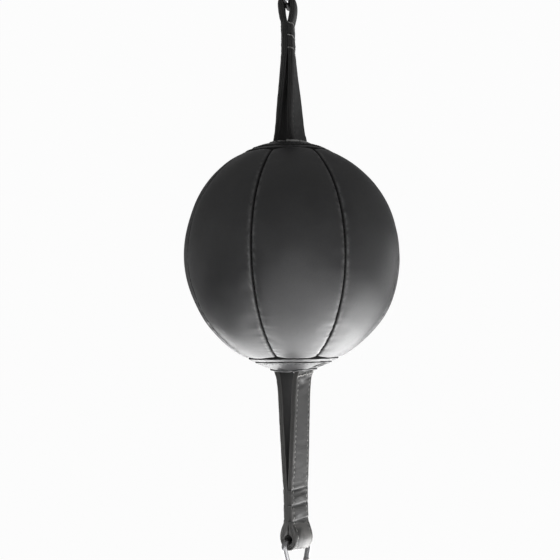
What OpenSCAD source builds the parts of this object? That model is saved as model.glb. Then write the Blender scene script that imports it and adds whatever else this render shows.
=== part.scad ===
// Reflex bag: an air-filled leather ball of seven gores, hung between two
// laminated leather loop straps, with a welded steel ring in each strap's eye.
// The origin is where the upper ring bears on its hook; the bag hangs below it.
// Seen from the front, -Y is near, +X is right and +Z is up.

/* [Ball] */
// Width of the ball across its middle
ball_w = 230; // [190:5:260]
// Height of the ball from pole to pole
ball_h = 244; // [200:4:280]
// Thickness of the leather
leather_t = 2; // [1.4:0.2:2.4]
// How far the panels draw in along each seam
seam_dip = 2.6; // [0.6:0.2:3.2]
// Gap between two panels at the surface of a seam
seam_gap = 0.6; // [0.3:0.1:1]
// Depth of the seam allowance that turns in behind a panel
seam_turn = 3; // [2:0.5:3]
// Turn of the whole ball about its own axis, in degrees
ball_turn = 3.7; // [0:0.1:25]

/* [Ends of the ball] */
// Radius at which the panels end
panel_end_r = 51; // [50:0.5:54]
// How far the middle of a panel's end reaches past its corners
scallop = 2; // [0:0.5:2]
// Outer radius of the ring band
band_r = 48.2; // [47.8:0.1:48.4]
// Outer radius of the end cap
cap_r = 40.8; // [40:0.2:41]
// Thickness of the reinforcing disc under a cap
disc_t = 1.8; // [1.2:0.2:1.8]
// Height that a slot's welt stands above the cap
welt_h = 1.3; // [0.8:0.1:2]

/* [Air chamber] */
// Thickness of the foam behind each panel
foam_t = 2.3; // [1.5:0.1:2.3]
// Thickness of the canvas lining
lining_t = 0.9; // [0.6:0.1:1.2]
// Wall of the rubber bladder
bladder_t = 1; // [0.8:0.1:1.4]
// Distance of the valve from the ball's axis
valve_r = 33; // [31:0.5:34]
// Place of the valve round the lower cap, in degrees to the right of the front
valve_turn = 60; // [50:1:70]

/* [Straps] */
// Width of both straps
strap_w = 25; // [20:1:25]
// Thickness of one of the three plies
ply_t = 2.1; // [1.6:0.1:2.1]
// Length next to the ball that flexes
flex_l = 26; // [22:1:30]

/* [Upper strap] */
// Length from the ball's pole to the middle of the ring's bar
upper_reach = 147; // [140:1:170]
// Length of the open legs, up to the first sewn crease
upper_open = 102; // [95:1:105]
// Distance between two sewn creases
upper_crease_step = 13; // [11:0.5:14]
// Turn of the strap at the ball, in degrees
upper_turn = 56; // [45:1:80]
// Turn of the strap at its eye, in degrees
upper_eye_turn = 82; // [60:1:88]

/* [Lower strap] */
// Length from the ball's pole to the middle of the ring's bar
lower_reach = 181; // [175:1:200]
// Length of the open legs, up to the first sewn crease
lower_open = 127; // [110:1:130]
// Distance between two sewn creases
lower_crease_step = 16.5; // [12:0.5:17]
// Turn of the strap at the ball, in degrees
lower_turn = 52; // [40:1:70]
// Turn of the strap at its eye, in degrees
lower_eye_turn = 45; // [35:1:60]

/* [Rings] */
// Diameter of the steel wire
wire_d = 6; // [5:0.5:6]
// Half the width of the ring where its sides would meet the bar
ring_half_w = 20; // [20:0.5:24]
// Lean of each side of the ring, in degrees
ring_lean = 15; // [8:1:18]
// Radius of the ring's round end, to the middle of the wire
ring_end_r = 11; // [10:0.5:12]

/* [Hidden] */

$fn = 48;
gores = 7;
semi_w = ball_w / 2;
semi_h = ball_h / 2;
front = 270;                // direction of the front, in degrees from +X
upper = 1;
lower = -1;

// Colours
black_leather = [0.11, 0.11, 0.12];
strap_leather = [0.16, 0.15, 0.15];
strap_core = [0.27, 0.26, 0.25];
foam_grey = [0.42, 0.42, 0.45];
canvas = [0.78, 0.74, 0.64];
latex = [0.55, 0.36, 0.22];
valve_black = [0.05, 0.05, 0.05];
steel = [0.8, 0.8, 0.82];

// ---- Places on the ball -------------------------------------------------

// Point [r, z] on the ball's section at the angle u from the equator, moved
// out along the normal by off.
function on_ball(u, off) =
    let (nr = cos(u) / semi_w, nz = sin(u) / semi_h, m = norm([nr, nz]))
    [semi_w * cos(u) + off * nr / m, semi_h * sin(u) + off * nz / m];

// Angle u at which the section has the radius r.
function angle_at(r) = acos(r / semi_w);

// Smooth step from 0 to 1 as x goes from a to b.
function ease(x, a, b) =
    let (t = min(1, max(0, (x - a) / (b - a))))
    t * t * (3 - 2 * t);

// Section of a layer of the ball between the angles u1 and u2, from the
// offset near to the offset far, each a function of the angle.
layer_steps = 12;
function layer(u1, u2, near, far) = concat(
    [for (i = [0 : layer_steps]) on_ball(u1 + (u2 - u1) * i / layer_steps, near)],
    [for (i = [layer_steps : -1 : 0]) on_ball(u1 + (u2 - u1) * i / layer_steps, far)]
);

// ---- Thin sheets --------------------------------------------------------

function flat(grid) = [for (row = grid) for (p = row) p];

// A closed sheet between two grids of points, the outer one first. Both have
// the same rows and columns.
module sheet(outer, inner) {
    rows = len(outer);
    cols = len(outer[0]);
    half = rows * cols;
    function at(i, j, side) = side * half + i * cols + j;
    function quad(p, q, r, s) = [[p, q, r], [p, r, s]];
    faces = concat(
        [for (i = [0 : rows - 2]) for (j = [0 : cols - 2])
            for (f = quad(at(i, j, 0), at(i + 1, j, 0),
                at(i + 1, j + 1, 0), at(i, j + 1, 0))) f],
        [for (i = [0 : rows - 2]) for (j = [0 : cols - 2])
            for (f = quad(at(i, j, 1), at(i, j + 1, 1),
                at(i + 1, j + 1, 1), at(i + 1, j, 1))) f],
        [for (i = [0 : rows - 2])
            for (f = quad(at(i, 0, 0), at(i, 0, 1),
                at(i + 1, 0, 1), at(i + 1, 0, 0))) f],
        [for (i = [0 : rows - 2])
            for (f = quad(at(i, cols - 1, 0), at(i + 1, cols - 1, 0),
                at(i + 1, cols - 1, 1), at(i, cols - 1, 1))) f],
        [for (j = [0 : cols - 2])
            for (f = quad(at(0, j, 0), at(0, j + 1, 0),
                at(0, j + 1, 1), at(0, j, 1))) f],
        [for (j = [0 : cols - 2])
            for (f = quad(at(rows - 1, j, 0), at(rows - 1, j, 1),
                at(rows - 1, j + 1, 1), at(rows - 1, j + 1, 0))) f]
    );
    polyhedron(concat(flat(outer), flat(inner)), faces);
}

// ---- Gore panels --------------------------------------------------------

panel_rows = 16;            // steps from one end of a panel to the other
panel_half = 4;             // steps from a panel's middle to its seam
end_dip = 0.8;              // how far a panel's ends draw in
turn_t = 1.2;               // thickness of the turned seam allowance
panel_end_u = angle_at(panel_end_r);
scallop_u = angle_at(panel_end_r - scallop) - panel_end_u;

// Places across a panel, from -1 at one seam to 1 at the other, closer
// together near the seams.
function across(k) = sin(90 * k / panel_half);

// Depth of the leather's face below the ball at s across and v along.
function drawn_in(s, v) =
    seam_dip * (0.3 * pow(s, 2) + 0.7 * pow(abs(s), 7)) + end_dip * pow(v, 14);

// Point of a panel at s across and v along, at the depth below the ball, and
// moved back from the seam by the distance back.
function panel_point(i, s, v, depth, back) =
    let (
        u = v * (panel_end_u + scallop_u * (1 - s * s)),
        p = on_ball(u, -depth),
        edge = 180 / gores - (seam_gap / 2 + back) / p[0] * 180 / PI,
        turn = front + ball_turn + (i - 1) * 360 / gores + s * edge
    )
    [p[0] * cos(turn), p[0] * sin(turn), p[1]];

// A panel's face, with its seam allowances turned in along both seams.
function panel_grid(i, under) = [
    for (j = [0 : panel_rows])
        let (v = 2 * j / panel_rows - 1)
        concat(
            [panel_point(i, -1, v, drawn_in(1, v) + seam_turn, under * turn_t)],
            [for (k = [-panel_half : panel_half])
                let (s = across(k), back = abs(k) == panel_half ? turn_t : 0)
                panel_point(i, s, v, drawn_in(s, v) + under * leather_t,
                    under * back)],
            [panel_point(i, 1, v, drawn_in(1, v) + seam_turn, under * turn_t)]
        )
];

module panel(i) {
    color(black_leather) hang()
        sheet(panel_grid(i, 0), panel_grid(i, 1));
}

// Foam gore glued behind a panel, between its seam allowances.
foam_out = leather_t + 1.3;     // depth of the foam, clear of the panel's faces
foam_end_u = angle_at(62);
foam_half_turn = 19;
module padding(i) {
    color(foam_grey) hang()
        rotate([0, 0, front + ball_turn + (i - 1) * 360 / gores - foam_half_turn])
            rotate_extrude(angle = 2 * foam_half_turn)
                polygon(layer(-foam_end_u, foam_end_u, -foam_out, -foam_out - foam_t));
}

// ---- Air chamber --------------------------------------------------------

lining_depth = foam_out + foam_t + 0.5;
pole_depth = 13.4;          // depth of the lining under the strap at a pole
lining_steps = 24;

// Depth of the lining below the ball, deeper at the poles to clear the straps.
function lining_at(u) =
    lining_depth + (pole_depth - lining_depth) * ease(abs(u), 56, 65);

// Section of the lining or the bladder, as a closed skin of the thickness t.
function skin(depth, t) = concat(
    [for (i = [-lining_steps : lining_steps])
        let (u = 90 * i / lining_steps, p = on_ball(u, -lining_at(u) - depth))
        [max(0, abs(i) == lining_steps ? 0 : p[0]), p[1]]],
    [for (i = [lining_steps : -1 : -lining_steps])
        let (u = 90 * i / lining_steps, p = on_ball(u, -lining_at(u) - depth - t))
        [max(0, abs(i) == lining_steps ? 0 : p[0]), p[1]]]
);

bladder_gap = 0.4;
neck_r = 3.5;               // radius of the valve's neck
dimple_r = 1.1;             // mouth of the dimple that guides a pump needle
dimple_l = 2.4;             // depth of the dimple, down to the closed slit
flange_r = 8;
flange_t = 1.2;
flange_gap = 0.7;           // flange's face below the bladder's wall, for its curve
stem_l = pole_depth + lining_t + bladder_gap + bladder_t;

module lining() {
    color(canvas) hang()
        difference() {
            rotate_extrude() polygon(skin(0, lining_t));
            at_valve() translate([0, 0, -stem_l - 6])
                cylinder(r = neck_r + 0.6, h = stem_l);
        }
}

module bladder() {
    color(latex) hang()
        difference() {
            rotate_extrude() polygon(skin(lining_t + bladder_gap, bladder_t));
            at_valve() translate([0, 0, -stem_l - 6])
                cylinder(r = neck_r + 0.2, h = stem_l);
        }
}

// Places its children at the valve, with +Z out of the ball.
module at_valve() {
    u = angle_at(valve_r);
    p = on_ball(u, 0);
    lean = 90 - atan2(sin(u) / semi_h, cos(u) / semi_w);
    turn = front + valve_turn;
    translate([p[0] * cos(turn), p[0] * sin(turn), -p[1]])
        rotate([0, 180 - lean, turn])
            children();
}

// Moulded neck of the bladder, with a flange bonded inside the bladder.
module valve_stem() {
    color(valve_black) hang() at_valve()
        difference() {
            union() {
                translate([0, 0, -stem_l]) cylinder(r = neck_r, h = stem_l + 0.4);
                translate([0, 0, -stem_l - flange_gap - flange_t]) {
                    cylinder(r = flange_r, h = flange_t);
                    cylinder(r = neck_r, h = flange_t + 2 * flange_gap);
                }
            }
            translate([0, 0, 0.4 - dimple_l])
                cylinder(r1 = 0.1, r2 = dimple_r, h = dimple_l);
        }
}

// Rubber grommet that lines the cap's valve hole.
grommet_bore_r = neck_r + 0.15;
cap_hole_r = neck_r + 1;
module valve_grommet() {
    lip_r = cap_hole_r + 1.4;
    lip_h = 0.9;
    under = leather_t + 0.25;
    color(valve_black) hang() at_valve()
        rotate_extrude()
            polygon([
                [grommet_bore_r, -under - 0.9], [lip_r, -under - 0.9],
                [lip_r, -under], [cap_hole_r - 0.1, -under],
                [cap_hole_r - 0.1, 0.05], [lip_r, 0.05],
                [lip_r - 0.3, 0.05 + lip_h * 0.6], [lip_r - 1, 0.05 + lip_h],
                [grommet_bore_r, 0.05 + lip_h]
            ]);
}

// ---- Ends of the ball ---------------------------------------------------

slot_clear = 0.8;
slot_in = 4.6;              // slot's inner edge, back from the strap's middle
slot_out = 5;               // slot's outer edge, out from the strap's middle
slot_round = 1.6;
disc_r = 38.5;              // radius of a reinforcing disc

// Flips its children to the end of the ball that is named.
module at_end(end) {
    mirror([0, 0, end == upper ? 0 : 1]) children();
}

// Outline of one slot, grown by the amount, round at its corners.
module slot_outline(strap, grow) {
    mid = leg_mid(strap, 0);
    n0 = mid - slot_in - grow;
    n1 = mid + slot_out + grow;
    w = strap_w / 2 + slot_clear + grow;
    r = slot_round + grow;
    translate([n0 + r, -w]) square([n1 - n0 - 2 * r, 2 * w]);
    translate([n0, -w + r]) square([n1 - n0, 2 * w - 2 * r]);
    for (x = [n0 + r, n1 - r]) for (y = [-w + r, w - r])
        translate([x, y]) circle(r = r);
}

// Both slots of a strap, as tall cutters that stand on the middle of the ball.
module slot_cutters(strap, grow) {
    for (half = [0, 180])
        rotate([0, 0, leg_direction(strap_angle(strap, 0)) + half])
            linear_extrude(height = semi_h + 10) slot_outline(strap, grow);
}

// Disc of a layer between two depths below the ball, out to the radius r.
module pole_layer(r, near, far) {
    rotate_extrude() polygon(concat(
        [for (i = [0 : layer_steps])
            let (p = on_ball(90 - (90 - angle_at(r)) * i / layer_steps, -near))
            [i == 0 ? 0 : p[0], p[1]]],
        [for (i = [layer_steps : -1 : 0])
            let (p = on_ball(90 - (90 - angle_at(r)) * i / layer_steps, -far))
            [i == 0 ? 0 : p[0], p[1]]]
    ));
}

module end_cap(strap) {
    color(black_leather) hang()
        difference() {
            at_end(end_of(strap)) difference() {
                pole_layer(cap_r, 0, leather_t);
                slot_cutters(strap, 0);
            }
            if (end_of(strap) == lower)
                at_valve() translate([0, 0, -5]) cylinder(r = cap_hole_r, h = 10);
        }
}

module reinforcing_disc(strap) {
    color(canvas) hang()
        difference() {
            at_end(end_of(strap)) difference() {
                pole_layer(disc_r, leather_t + 0.2, leather_t + 0.2 + disc_t);
                slot_cutters(strap, 0);
            }
            if (end_of(strap) == lower)
                at_valve() translate([0, 0, -12]) cylinder(r = 7, h = 14);
        }
}

// Raised leather edge round both slots.
module slot_welts(strap) {
    welt_w = 1.8;
    color(black_leather) hang() at_end(end_of(strap))
        intersection() {
            pole_layer(cap_r, -welt_h, -0.05);
            difference() {
                slot_cutters(strap, welt_w);
                slot_cutters(strap, -0.1);
            }
        }
}

// Narrow ring between the panels and a cap, crowned like a piping.
module band(end) {
    crown = 0.5;
    inner_r = cap_r + 0.5;
    u1 = angle_at(band_r);
    u2 = angle_at(inner_r);
    steps = 6;
    color(black_leather) hang() at_end(end)
        rotate_extrude() polygon(concat(
            [for (i = [0 : steps])
                let (x = 2 * i / steps - 1)
                on_ball(u1 + (u2 - u1) * i / steps, crown * (1 - pow(x, 4)) - 0.4)],
            [on_ball(u2, -leather_t), on_ball(u1, -leather_t)]
        ));
}

// ---- Straps -------------------------------------------------------------

// What describes a strap, in the order of the lists below.
END = 0;
REACH = 1;
OPEN = 2;
STEP = 3;
TURN = 4;
EYE_TURN = 5;
TAPER = 6;                  // how much wider the legs stand at the ball
POWER = 7;                  // how late the legs start to close
FLARE = 8;                  // extra spread where the legs meet the ball
FLARE_L = 9;                // length of that spread
EYE_R = 10;                 // inner radius of the eye

upper_strap = [upper, upper_reach, upper_open, upper_crease_step, upper_turn,
    upper_eye_turn, 4.6, 1, 2.5, 8.3, wire_d / 2 + 0.3];
lower_strap = [lower, lower_reach, lower_open, lower_crease_step, lower_turn,
    lower_eye_turn, 6.2, 1.6, 4.2, 6, wire_d / 2 + 2.6];

strap_t = 3 * ply_t;
leg_gap = 0.1;              // gap between the two legs where they are sewn
bar_clear = 0.3;
crease_pinch = 0.5;         // depth of a sewn crease
crease_reach = 2.5;         // how far a crease spreads to each side
base_bend_r = 6;
split_gap = 0.1;

function end_of(strap) = strap[END];
function leg_direction(turn) = turn - 90;
function last_crease(strap) = strap[OPEN] + 2 * strap[STEP];

// Distance from the pole to the middle of the eye. The ring's bar lies in the
// far end of the eye.
function eye_mid(strap) = strap[REACH] - (strap[EYE_R] - wire_d / 2 - bar_clear);

// Direction of the strap's width at the distance d from the pole.
function strap_angle(strap, d) =
    strap[TURN] + (strap[EYE_TURN] - strap[TURN]) * ease(d, 0, strap[OPEN]);

// Distance from the axis to the middle of a leg at the distance d.
function leg_mid(strap, d) =
    strap_t / 2 + leg_gap / 2
    + strap[TAPER] * (1 - pow(min(1, max(0, d) / strap[OPEN]), strap[POWER]))
    + strap[FLARE] * exp(-max(0, d) / strap[FLARE_L]) * (d < strap[OPEN] ? 1 : 0);

// Half the gap between the legs at the distance d, up to the middle of the eye.
function half_gap(strap, d) =
    let (last = last_crease(strap))
    d <= last
        ? leg_mid(strap, d) - strap_t / 2
        : leg_gap / 2 + (strap[EYE_R] - leg_gap / 2)
            * sin(90 * (d - last) / (eye_mid(strap) - last));

// Pinch of the outer ply at the distance d from the pole.
function pinch(strap, d) =
    max([for (i = [0 : 2])
        let (x = abs(d - strap[OPEN] - i * strap[STEP]))
        crease_pinch * max(0, 1 - x / crease_reach)]);

// Distances from the pole at which a leg has a row of points.
leg_rows = 10;
eye_rows = 4;
arc_rows = 10;
function leg_stations(strap) = concat(
    [for (i = [0 : leg_rows - 1])
        flex_l + split_gap
            + (strap[OPEN] - crease_reach - flex_l - split_gap) * i / leg_rows],
    [for (i = [0 : 2]) for (x = [-1, 0, 1])
        strap[OPEN] + i * strap[STEP] + x * crease_reach],
    [for (i = [1 : eye_rows])
        last_crease(strap) + crease_reach
            + (eye_mid(strap) - last_crease(strap) - crease_reach)
            * i / (eye_rows + 1)]
);

// Point of a strap from its place n across the gap and d beyond the pole, at
// the distance w along its width.
function strap_point(strap, n, d, w) =
    let (turn = strap_angle(strap, d), away = leg_direction(turn))
    [n * cos(away) + w * cos(turn), n * sin(away) + w * sin(turn),
        strap[END] * (semi_h + d)];

// Rows [n, d] of a face that lies off outside the inner face of the loop, from
// the near leg round the eye to the far leg.
function loop_rows(strap, off, pinched) =
    let (
        leg = [for (d = leg_stations(strap))
            [half_gap(strap, d) + off - pinched * pinch(strap, d), d]],
        r = strap[EYE_R] + off,
        arc = [for (i = [0 : arc_rows])
            let (t = 180 * i / arc_rows)
            [r * cos(t), eye_mid(strap) + r * sin(t)]]
    )
    concat(leg, arc, [for (i = [len(leg) - 1 : -1 : 0]) [-leg[i][0], leg[i][1]]]);

// Points on both edges of a strap for each row. The lower strap's edges change
// places, so that the sheet still faces outwards.
function edges(strap, rows) = [for (row = rows)
    [for (side = [1, -1])
        strap_point(strap, row[0], row[1], strap[END] * side * strap_w / 2)]];

// One ply of a strap: ply 0 lines the loop, ply 2 is its outer face.
module ply(strap, k) {
    hang() sheet(
        edges(strap, loop_rows(strap, (k + 1) * ply_t, k == 2 ? 1 : 0)),
        edges(strap, loop_rows(strap, k * ply_t, 0))
    );
}

// Slope of a leg at the distance d, as an angle away from the axis.
function leg_lean(strap, d) =
    let (h = 0.01)
    atan((leg_mid(strap, max(0, d)) - leg_mid(strap, max(0, d) + h)) / h);

// Rows [n, d, angle of the normal] of the middle of the strap's base: the end
// of a leg, cut square where the plies go on, a bend inside the ball, and the
// stretch that crosses to the other leg under the cap.
base_bend_rows = 6;
base_stations = [flex_l, 19, 13, 8.5, 5, 2, 0];
function base_half(strap) =
    let (
        lean = leg_lean(strap, 0),
        start = leg_mid(strap, 0),
        bend = [start - base_bend_r * cos(lean), -base_bend_r * sin(lean)]
    )
    concat(
        [for (d = base_stations)
            [leg_mid(strap, d), d, d == flex_l ? 0 : leg_lean(strap, d)]],
        [for (i = [1 : base_bend_rows])
            let (t = lean - (lean + 90) * i / base_bend_rows)
            [bend[0] + base_bend_r * cos(t), bend[1] + base_bend_r * sin(t), t]]
    );

function base_rows(strap, off) =
    let (half = base_half(strap))
    concat(
        [for (p = half) [p[0] + off * cos(p[2]), p[1] + off * sin(p[2])]],
        [for (i = [len(half) - 1 : -1 : 0])
            let (p = half[i])
            [-p[0] - off * cos(p[2]), p[1] + off * sin(p[2])]]
    );

// The part of a strap that flexes, next to the ball and inside it.
module strap_base(strap) {
    color(strap_leather) hang() sheet(
        [for (row = base_rows(strap, strap_t / 2)) base_edge(strap, row)],
        [for (row = base_rows(strap, -strap_t / 2)) base_edge(strap, row)]
    );
}

function base_edge(strap, row) = edges(strap, [row])[0];

// ---- Rings --------------------------------------------------------------

corner_r = 5.5;
bend_swell = 0.1;           // how much thicker the wire is in a bend
bend_lap = 0.3;             // how far a straight stretch runs into a bend
ring_end_mid = (ring_half_w * cos(ring_lean) - ring_end_r) / sin(ring_lean);
ring_h = ring_end_mid + ring_end_r;
corner_tangent = corner_r * tan((90 + ring_lean) / 2);
side_l = ring_half_w * sin(ring_lean) + ring_end_mid * cos(ring_lean);

// Bent wire along an arc of the radius r, from the angle a1 to a2.
module wire_arc(r, a1, a2) {
    rotate([0, 0, a1]) rotate_extrude(angle = a2 - a1)
        translate([r, 0]) circle(d = wire_d + bend_swell);
}

// Ring in the plane of X and Y, with the middle of its bar at the origin.
module ring_shape() {
    bar = ring_half_w - corner_tangent;
    rotate([0, 90, 0])
        cylinder(d = wire_d, h = 2 * (bar + bend_lap), center = true);
    translate([0, ring_end_mid]) wire_arc(ring_end_r, ring_lean, 180 - ring_lean);
    for (side = [0, 1]) mirror([side, 0, 0]) {
        translate([bar, corner_r]) wire_arc(corner_r, -90, ring_lean);
        translate([ring_half_w, 0]) rotate([0, 0, ring_lean]) rotate([-90, 0, 0])
            translate([0, 0, corner_tangent - bend_lap])
                cylinder(d = wire_d, h = side_l - corner_tangent + 2 * bend_lap);
    }
}

module ring(strap) {
    color(steel) hang()
        translate([0, 0, strap[END] * (semi_h + strap[REACH])])
            rotate([0, 0, strap[EYE_TURN]])
                at_end(end_of(strap)) rotate([90, 0, 0]) ring_shape();
}

// ---- Whole bag ----------------------------------------------------------

// Height of the ball's middle when the upper ring hangs from the origin.
ball_z = -(semi_h + upper_reach + ring_h - wire_d / 2);
module hang() {
    translate([0, 0, ball_z]) children();
}

module upper_ring() { ring(upper_strap); }
module upper_strap_outer_ply() { color(strap_leather) ply(upper_strap, 2); }
module upper_strap_core_ply() { color(strap_core) ply(upper_strap, 1); }
module upper_strap_inner_ply() { color(strap_leather) ply(upper_strap, 0); }
module upper_strap_base() { strap_base(upper_strap); }
module upper_slot_welts() { slot_welts(upper_strap); }
module upper_cap() { end_cap(upper_strap); }
module upper_reinforcing_disc() { reinforcing_disc(upper_strap); }
module upper_band() { band(upper); }
module lower_band() { band(lower); }
module lower_reinforcing_disc() { reinforcing_disc(lower_strap); }
module lower_cap() { end_cap(lower_strap); }
module lower_slot_welts() { slot_welts(lower_strap); }
module lower_strap_base() { strap_base(lower_strap); }
module lower_strap_outer_ply() { color(strap_leather) ply(lower_strap, 2); }
module lower_strap_core_ply() { color(strap_core) ply(lower_strap, 1); }
module lower_strap_inner_ply() { color(strap_leather) ply(lower_strap, 0); }
module lower_ring() { ring(lower_strap); }

upper_ring();
upper_strap_outer_ply();
upper_strap_core_ply();
upper_strap_inner_ply();
upper_strap_base();
upper_slot_welts();
upper_cap();
upper_reinforcing_disc();
upper_band();
for (i = [1 : gores]) panel(i);
for (i = [1 : gores]) padding(i);
lining();
bladder();
valve_stem();
valve_grommet();
lower_band();
lower_reinforcing_disc();
lower_cap();
lower_slot_welts();
lower_strap_base();
lower_strap_outer_ply();
lower_strap_core_ply();
lower_strap_inner_ply();
lower_ring();
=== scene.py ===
"""Looks of a reflex bag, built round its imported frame.

A ball of seven leather gores hangs between two laminated loop straps, and a
welded wire ring passes through the eye of each strap. Lengths are in metres
and angles in radians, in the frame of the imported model: -Y is the front, +X
the right and +Z up.
"""

from __future__ import annotations

import logging
import math
from collections.abc import Mapping, Sequence
from dataclasses import dataclass
from enum import Enum

import bpy
import numpy as np
from mathutils import Matrix, Vector
from mathutils.geometry import delaunay_2d_cdt


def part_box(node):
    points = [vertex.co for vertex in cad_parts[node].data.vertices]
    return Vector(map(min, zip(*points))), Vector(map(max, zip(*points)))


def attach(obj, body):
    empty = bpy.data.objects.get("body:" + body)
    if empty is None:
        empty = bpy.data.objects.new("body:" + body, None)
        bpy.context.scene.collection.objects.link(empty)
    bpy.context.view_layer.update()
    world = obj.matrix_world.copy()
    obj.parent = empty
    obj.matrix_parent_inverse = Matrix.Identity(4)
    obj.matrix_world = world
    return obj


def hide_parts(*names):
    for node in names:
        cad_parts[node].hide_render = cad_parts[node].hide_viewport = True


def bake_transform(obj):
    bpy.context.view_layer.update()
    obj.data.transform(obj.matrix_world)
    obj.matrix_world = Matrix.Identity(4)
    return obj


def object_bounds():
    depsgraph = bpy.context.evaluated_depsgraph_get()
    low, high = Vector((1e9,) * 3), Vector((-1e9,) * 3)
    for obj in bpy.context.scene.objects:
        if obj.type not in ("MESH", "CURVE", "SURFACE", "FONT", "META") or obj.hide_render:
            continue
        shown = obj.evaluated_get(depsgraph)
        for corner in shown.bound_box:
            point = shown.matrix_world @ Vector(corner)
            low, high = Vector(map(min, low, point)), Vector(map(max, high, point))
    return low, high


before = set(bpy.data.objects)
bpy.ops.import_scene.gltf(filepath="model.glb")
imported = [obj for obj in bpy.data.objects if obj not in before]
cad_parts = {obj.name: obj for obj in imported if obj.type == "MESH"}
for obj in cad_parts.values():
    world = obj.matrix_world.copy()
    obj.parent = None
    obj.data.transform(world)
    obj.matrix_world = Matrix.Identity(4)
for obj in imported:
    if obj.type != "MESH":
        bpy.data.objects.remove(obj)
CAD_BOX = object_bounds()

log = logging.getLogger("reflex_bag")

MM = 0.001
TINY = 1e-9
FULL_TURN = 2 * math.pi
GORES = 7
UP = np.array([0.0, 0.0, 1.0])

Array = np.ndarray
Colour = tuple[float, float, float]
Faces = list[Array]
Skin = tuple[Array, Faces]
Material = bpy.types.Material
Piece = bpy.types.Object


# ---- Numbers ----


def ease(value: Array | float, start: float, end: float) -> Array:
    """Smooth step from 0 at start to 1 at end."""
    t = np.clip((np.asarray(value, float) - start) / (end - start), 0, 1)
    return t * t * (3 - 2 * t)


def bell(distance: Array | float, reach: float) -> Array:
    """Gaussian hump, 1 at a distance of 0, which fades over the reach."""
    return np.exp(-((np.asarray(distance) / reach) ** 2))


def roll(inside: Array, radius: float) -> Array:
    """Depth of a rounded edge.

    Args:
        inside: Distance in from the edge.
        radius: Radius of the rounding.

    Returns:
        How far the face has dropped there, from the radius at the edge to 0.
    """
    short = np.clip(radius - inside, 0, radius)
    return radius - np.sqrt(radius**2 - short**2)


def unit(vectors: Array) -> Array:
    """The vectors scaled to a length of 1."""
    return vectors / np.maximum(np.linalg.norm(vectors, axis=-1, keepdims=True), 1e-12)


def stacked(*parts: Array | float) -> Array:
    """Vectors made of those parts, which are first brought to one shape."""
    return np.stack(np.broadcast_arrays(*parts), -1)


def around(count: int) -> Array:
    """Evenly spaced directions, once round."""
    return np.arange(count) * FULL_TURN / count


def circle(turns: Array | float) -> Array:
    """Points of the unit circle in those directions."""
    return np.stack([np.cos(turns), np.sin(turns)], -1)


def quarter(count: int) -> Array:
    """Even steps of a quarter turn, from 0."""
    return np.linspace(0, math.pi / 2, count)


def arch(t: Array) -> Array:
    """Height of a half circle: 1 in its middle, and 0 where t is -1 or 1."""
    return np.sqrt(np.clip(1 - t**2, 0, 1))


def run(line: Array) -> Array:
    """Length along a closed line to each point, and last its whole length."""
    steps = np.linalg.norm(np.roll(line, -1, axis=0) - line, axis=1)
    return np.concatenate([[0], np.cumsum(steps)])


def spaced(line: Array, step: float) -> Array:
    """Puts the points of a closed line at even steps.

    Args:
        line: Points of the line, each of two numbers.
        step: Distance from point to point, rounded to fit.

    Returns:
        The new points.
    """
    lengths = run(line)
    count = int(round(lengths[-1] / step))
    at = np.arange(count) * lengths[-1] / count
    closed = np.append(line, line[:1], axis=0)
    return np.stack([np.interp(at, lengths, closed[:, k]) for k in (0, 1)], -1)


class Unevenness:
    """Smooth seeded noise: a sum of plane waves of about one wavelength."""

    def __init__(self, wavelength: float, seed: int, waves: int = 14) -> None:
        """Draws the waves.

        Args:
            wavelength: Typical distance from crest to crest.
            seed: Seed of the random draws.
            waves: How many waves are summed.
        """
        dice = np.random.default_rng(seed)
        directions = unit(dice.normal(size=(waves, 3)))
        lengths = wavelength * dice.uniform(0.7, 1.6, size=(waves, 1))
        self._waves = directions * FULL_TURN / lengths
        self._starts = dice.uniform(0, FULL_TURN, size=waves)
        self._level = math.sqrt(2 / waves)

    def __call__(self, points: Array) -> Array:
        """Height of the noise at the points, mostly from -1 to 1."""
        return self._level * np.sin(points @ self._waves.T + self._starts).sum(axis=-1)


# ---- Meshes ----


def linked(name: str, data: bpy.types.ID) -> Piece:
    """Makes an object in the scene.

    Args:
        name: The object's name.
        data: Its mesh, lamp or camera.

    Returns:
        The object.
    """
    made = bpy.data.objects.new(name, data)
    bpy.context.scene.collection.objects.link(made)
    return made


class Ends(Enum):
    """How the first and the last ring of a loft are closed."""

    JOINED = "joined to each other"
    PAIRED = "the two sides of a sheet joined"
    CAPPED = "one flat face"


def loft(rings: Array, ends: Ends) -> Skin:
    """Closed skin over a row of rings.

    Args:
        rings: Points, as rings x points of a ring x 3.
        ends: How the first and the last ring are closed.

    Returns:
        The skin.
    """
    rows, columns = rings.shape[:2]
    steps = rows if ends is Ends.JOINED else rows - 1
    i, j = np.meshgrid(np.arange(steps), np.arange(columns), indexing="ij")
    here, below, right = i * columns, (i + 1) % rows * columns, (j + 1) % columns
    faces = [np.stack([here + j, below + j, below + right, here + right], -1).reshape(-1, 4)]
    last = (rows - 1) * columns
    if ends is Ends.PAIRED:
        near = np.arange(columns // 2 - 1)
        far = columns - 1 - near
        strip = np.stack([near, near + 1, far - 1, far], -1)
        faces += [strip, strip[:, ::-1] + last]
    if ends is Ends.CAPPED:
        ring = np.arange(columns)[None]
        faces += [ring, ring[:, ::-1] + last]
    return rings.reshape(-1, 3), faces


def volume(points: Array, faces: Faces) -> float:
    """Volume inside a closed skin.

    Args:
        points: Its points.
        faces: Its faces.

    Returns:
        The volume, negative where the faces look inwards.
    """
    total = 0.0
    for group in faces:
        for k in range(1, group.shape[1] - 1):
            a, b, c = points[group[:, 0]], points[group[:, k]], points[group[:, k + 1]]
            total += float(np.einsum("ij,ij->", a, np.cross(b, c))) / 6
    return total


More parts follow.
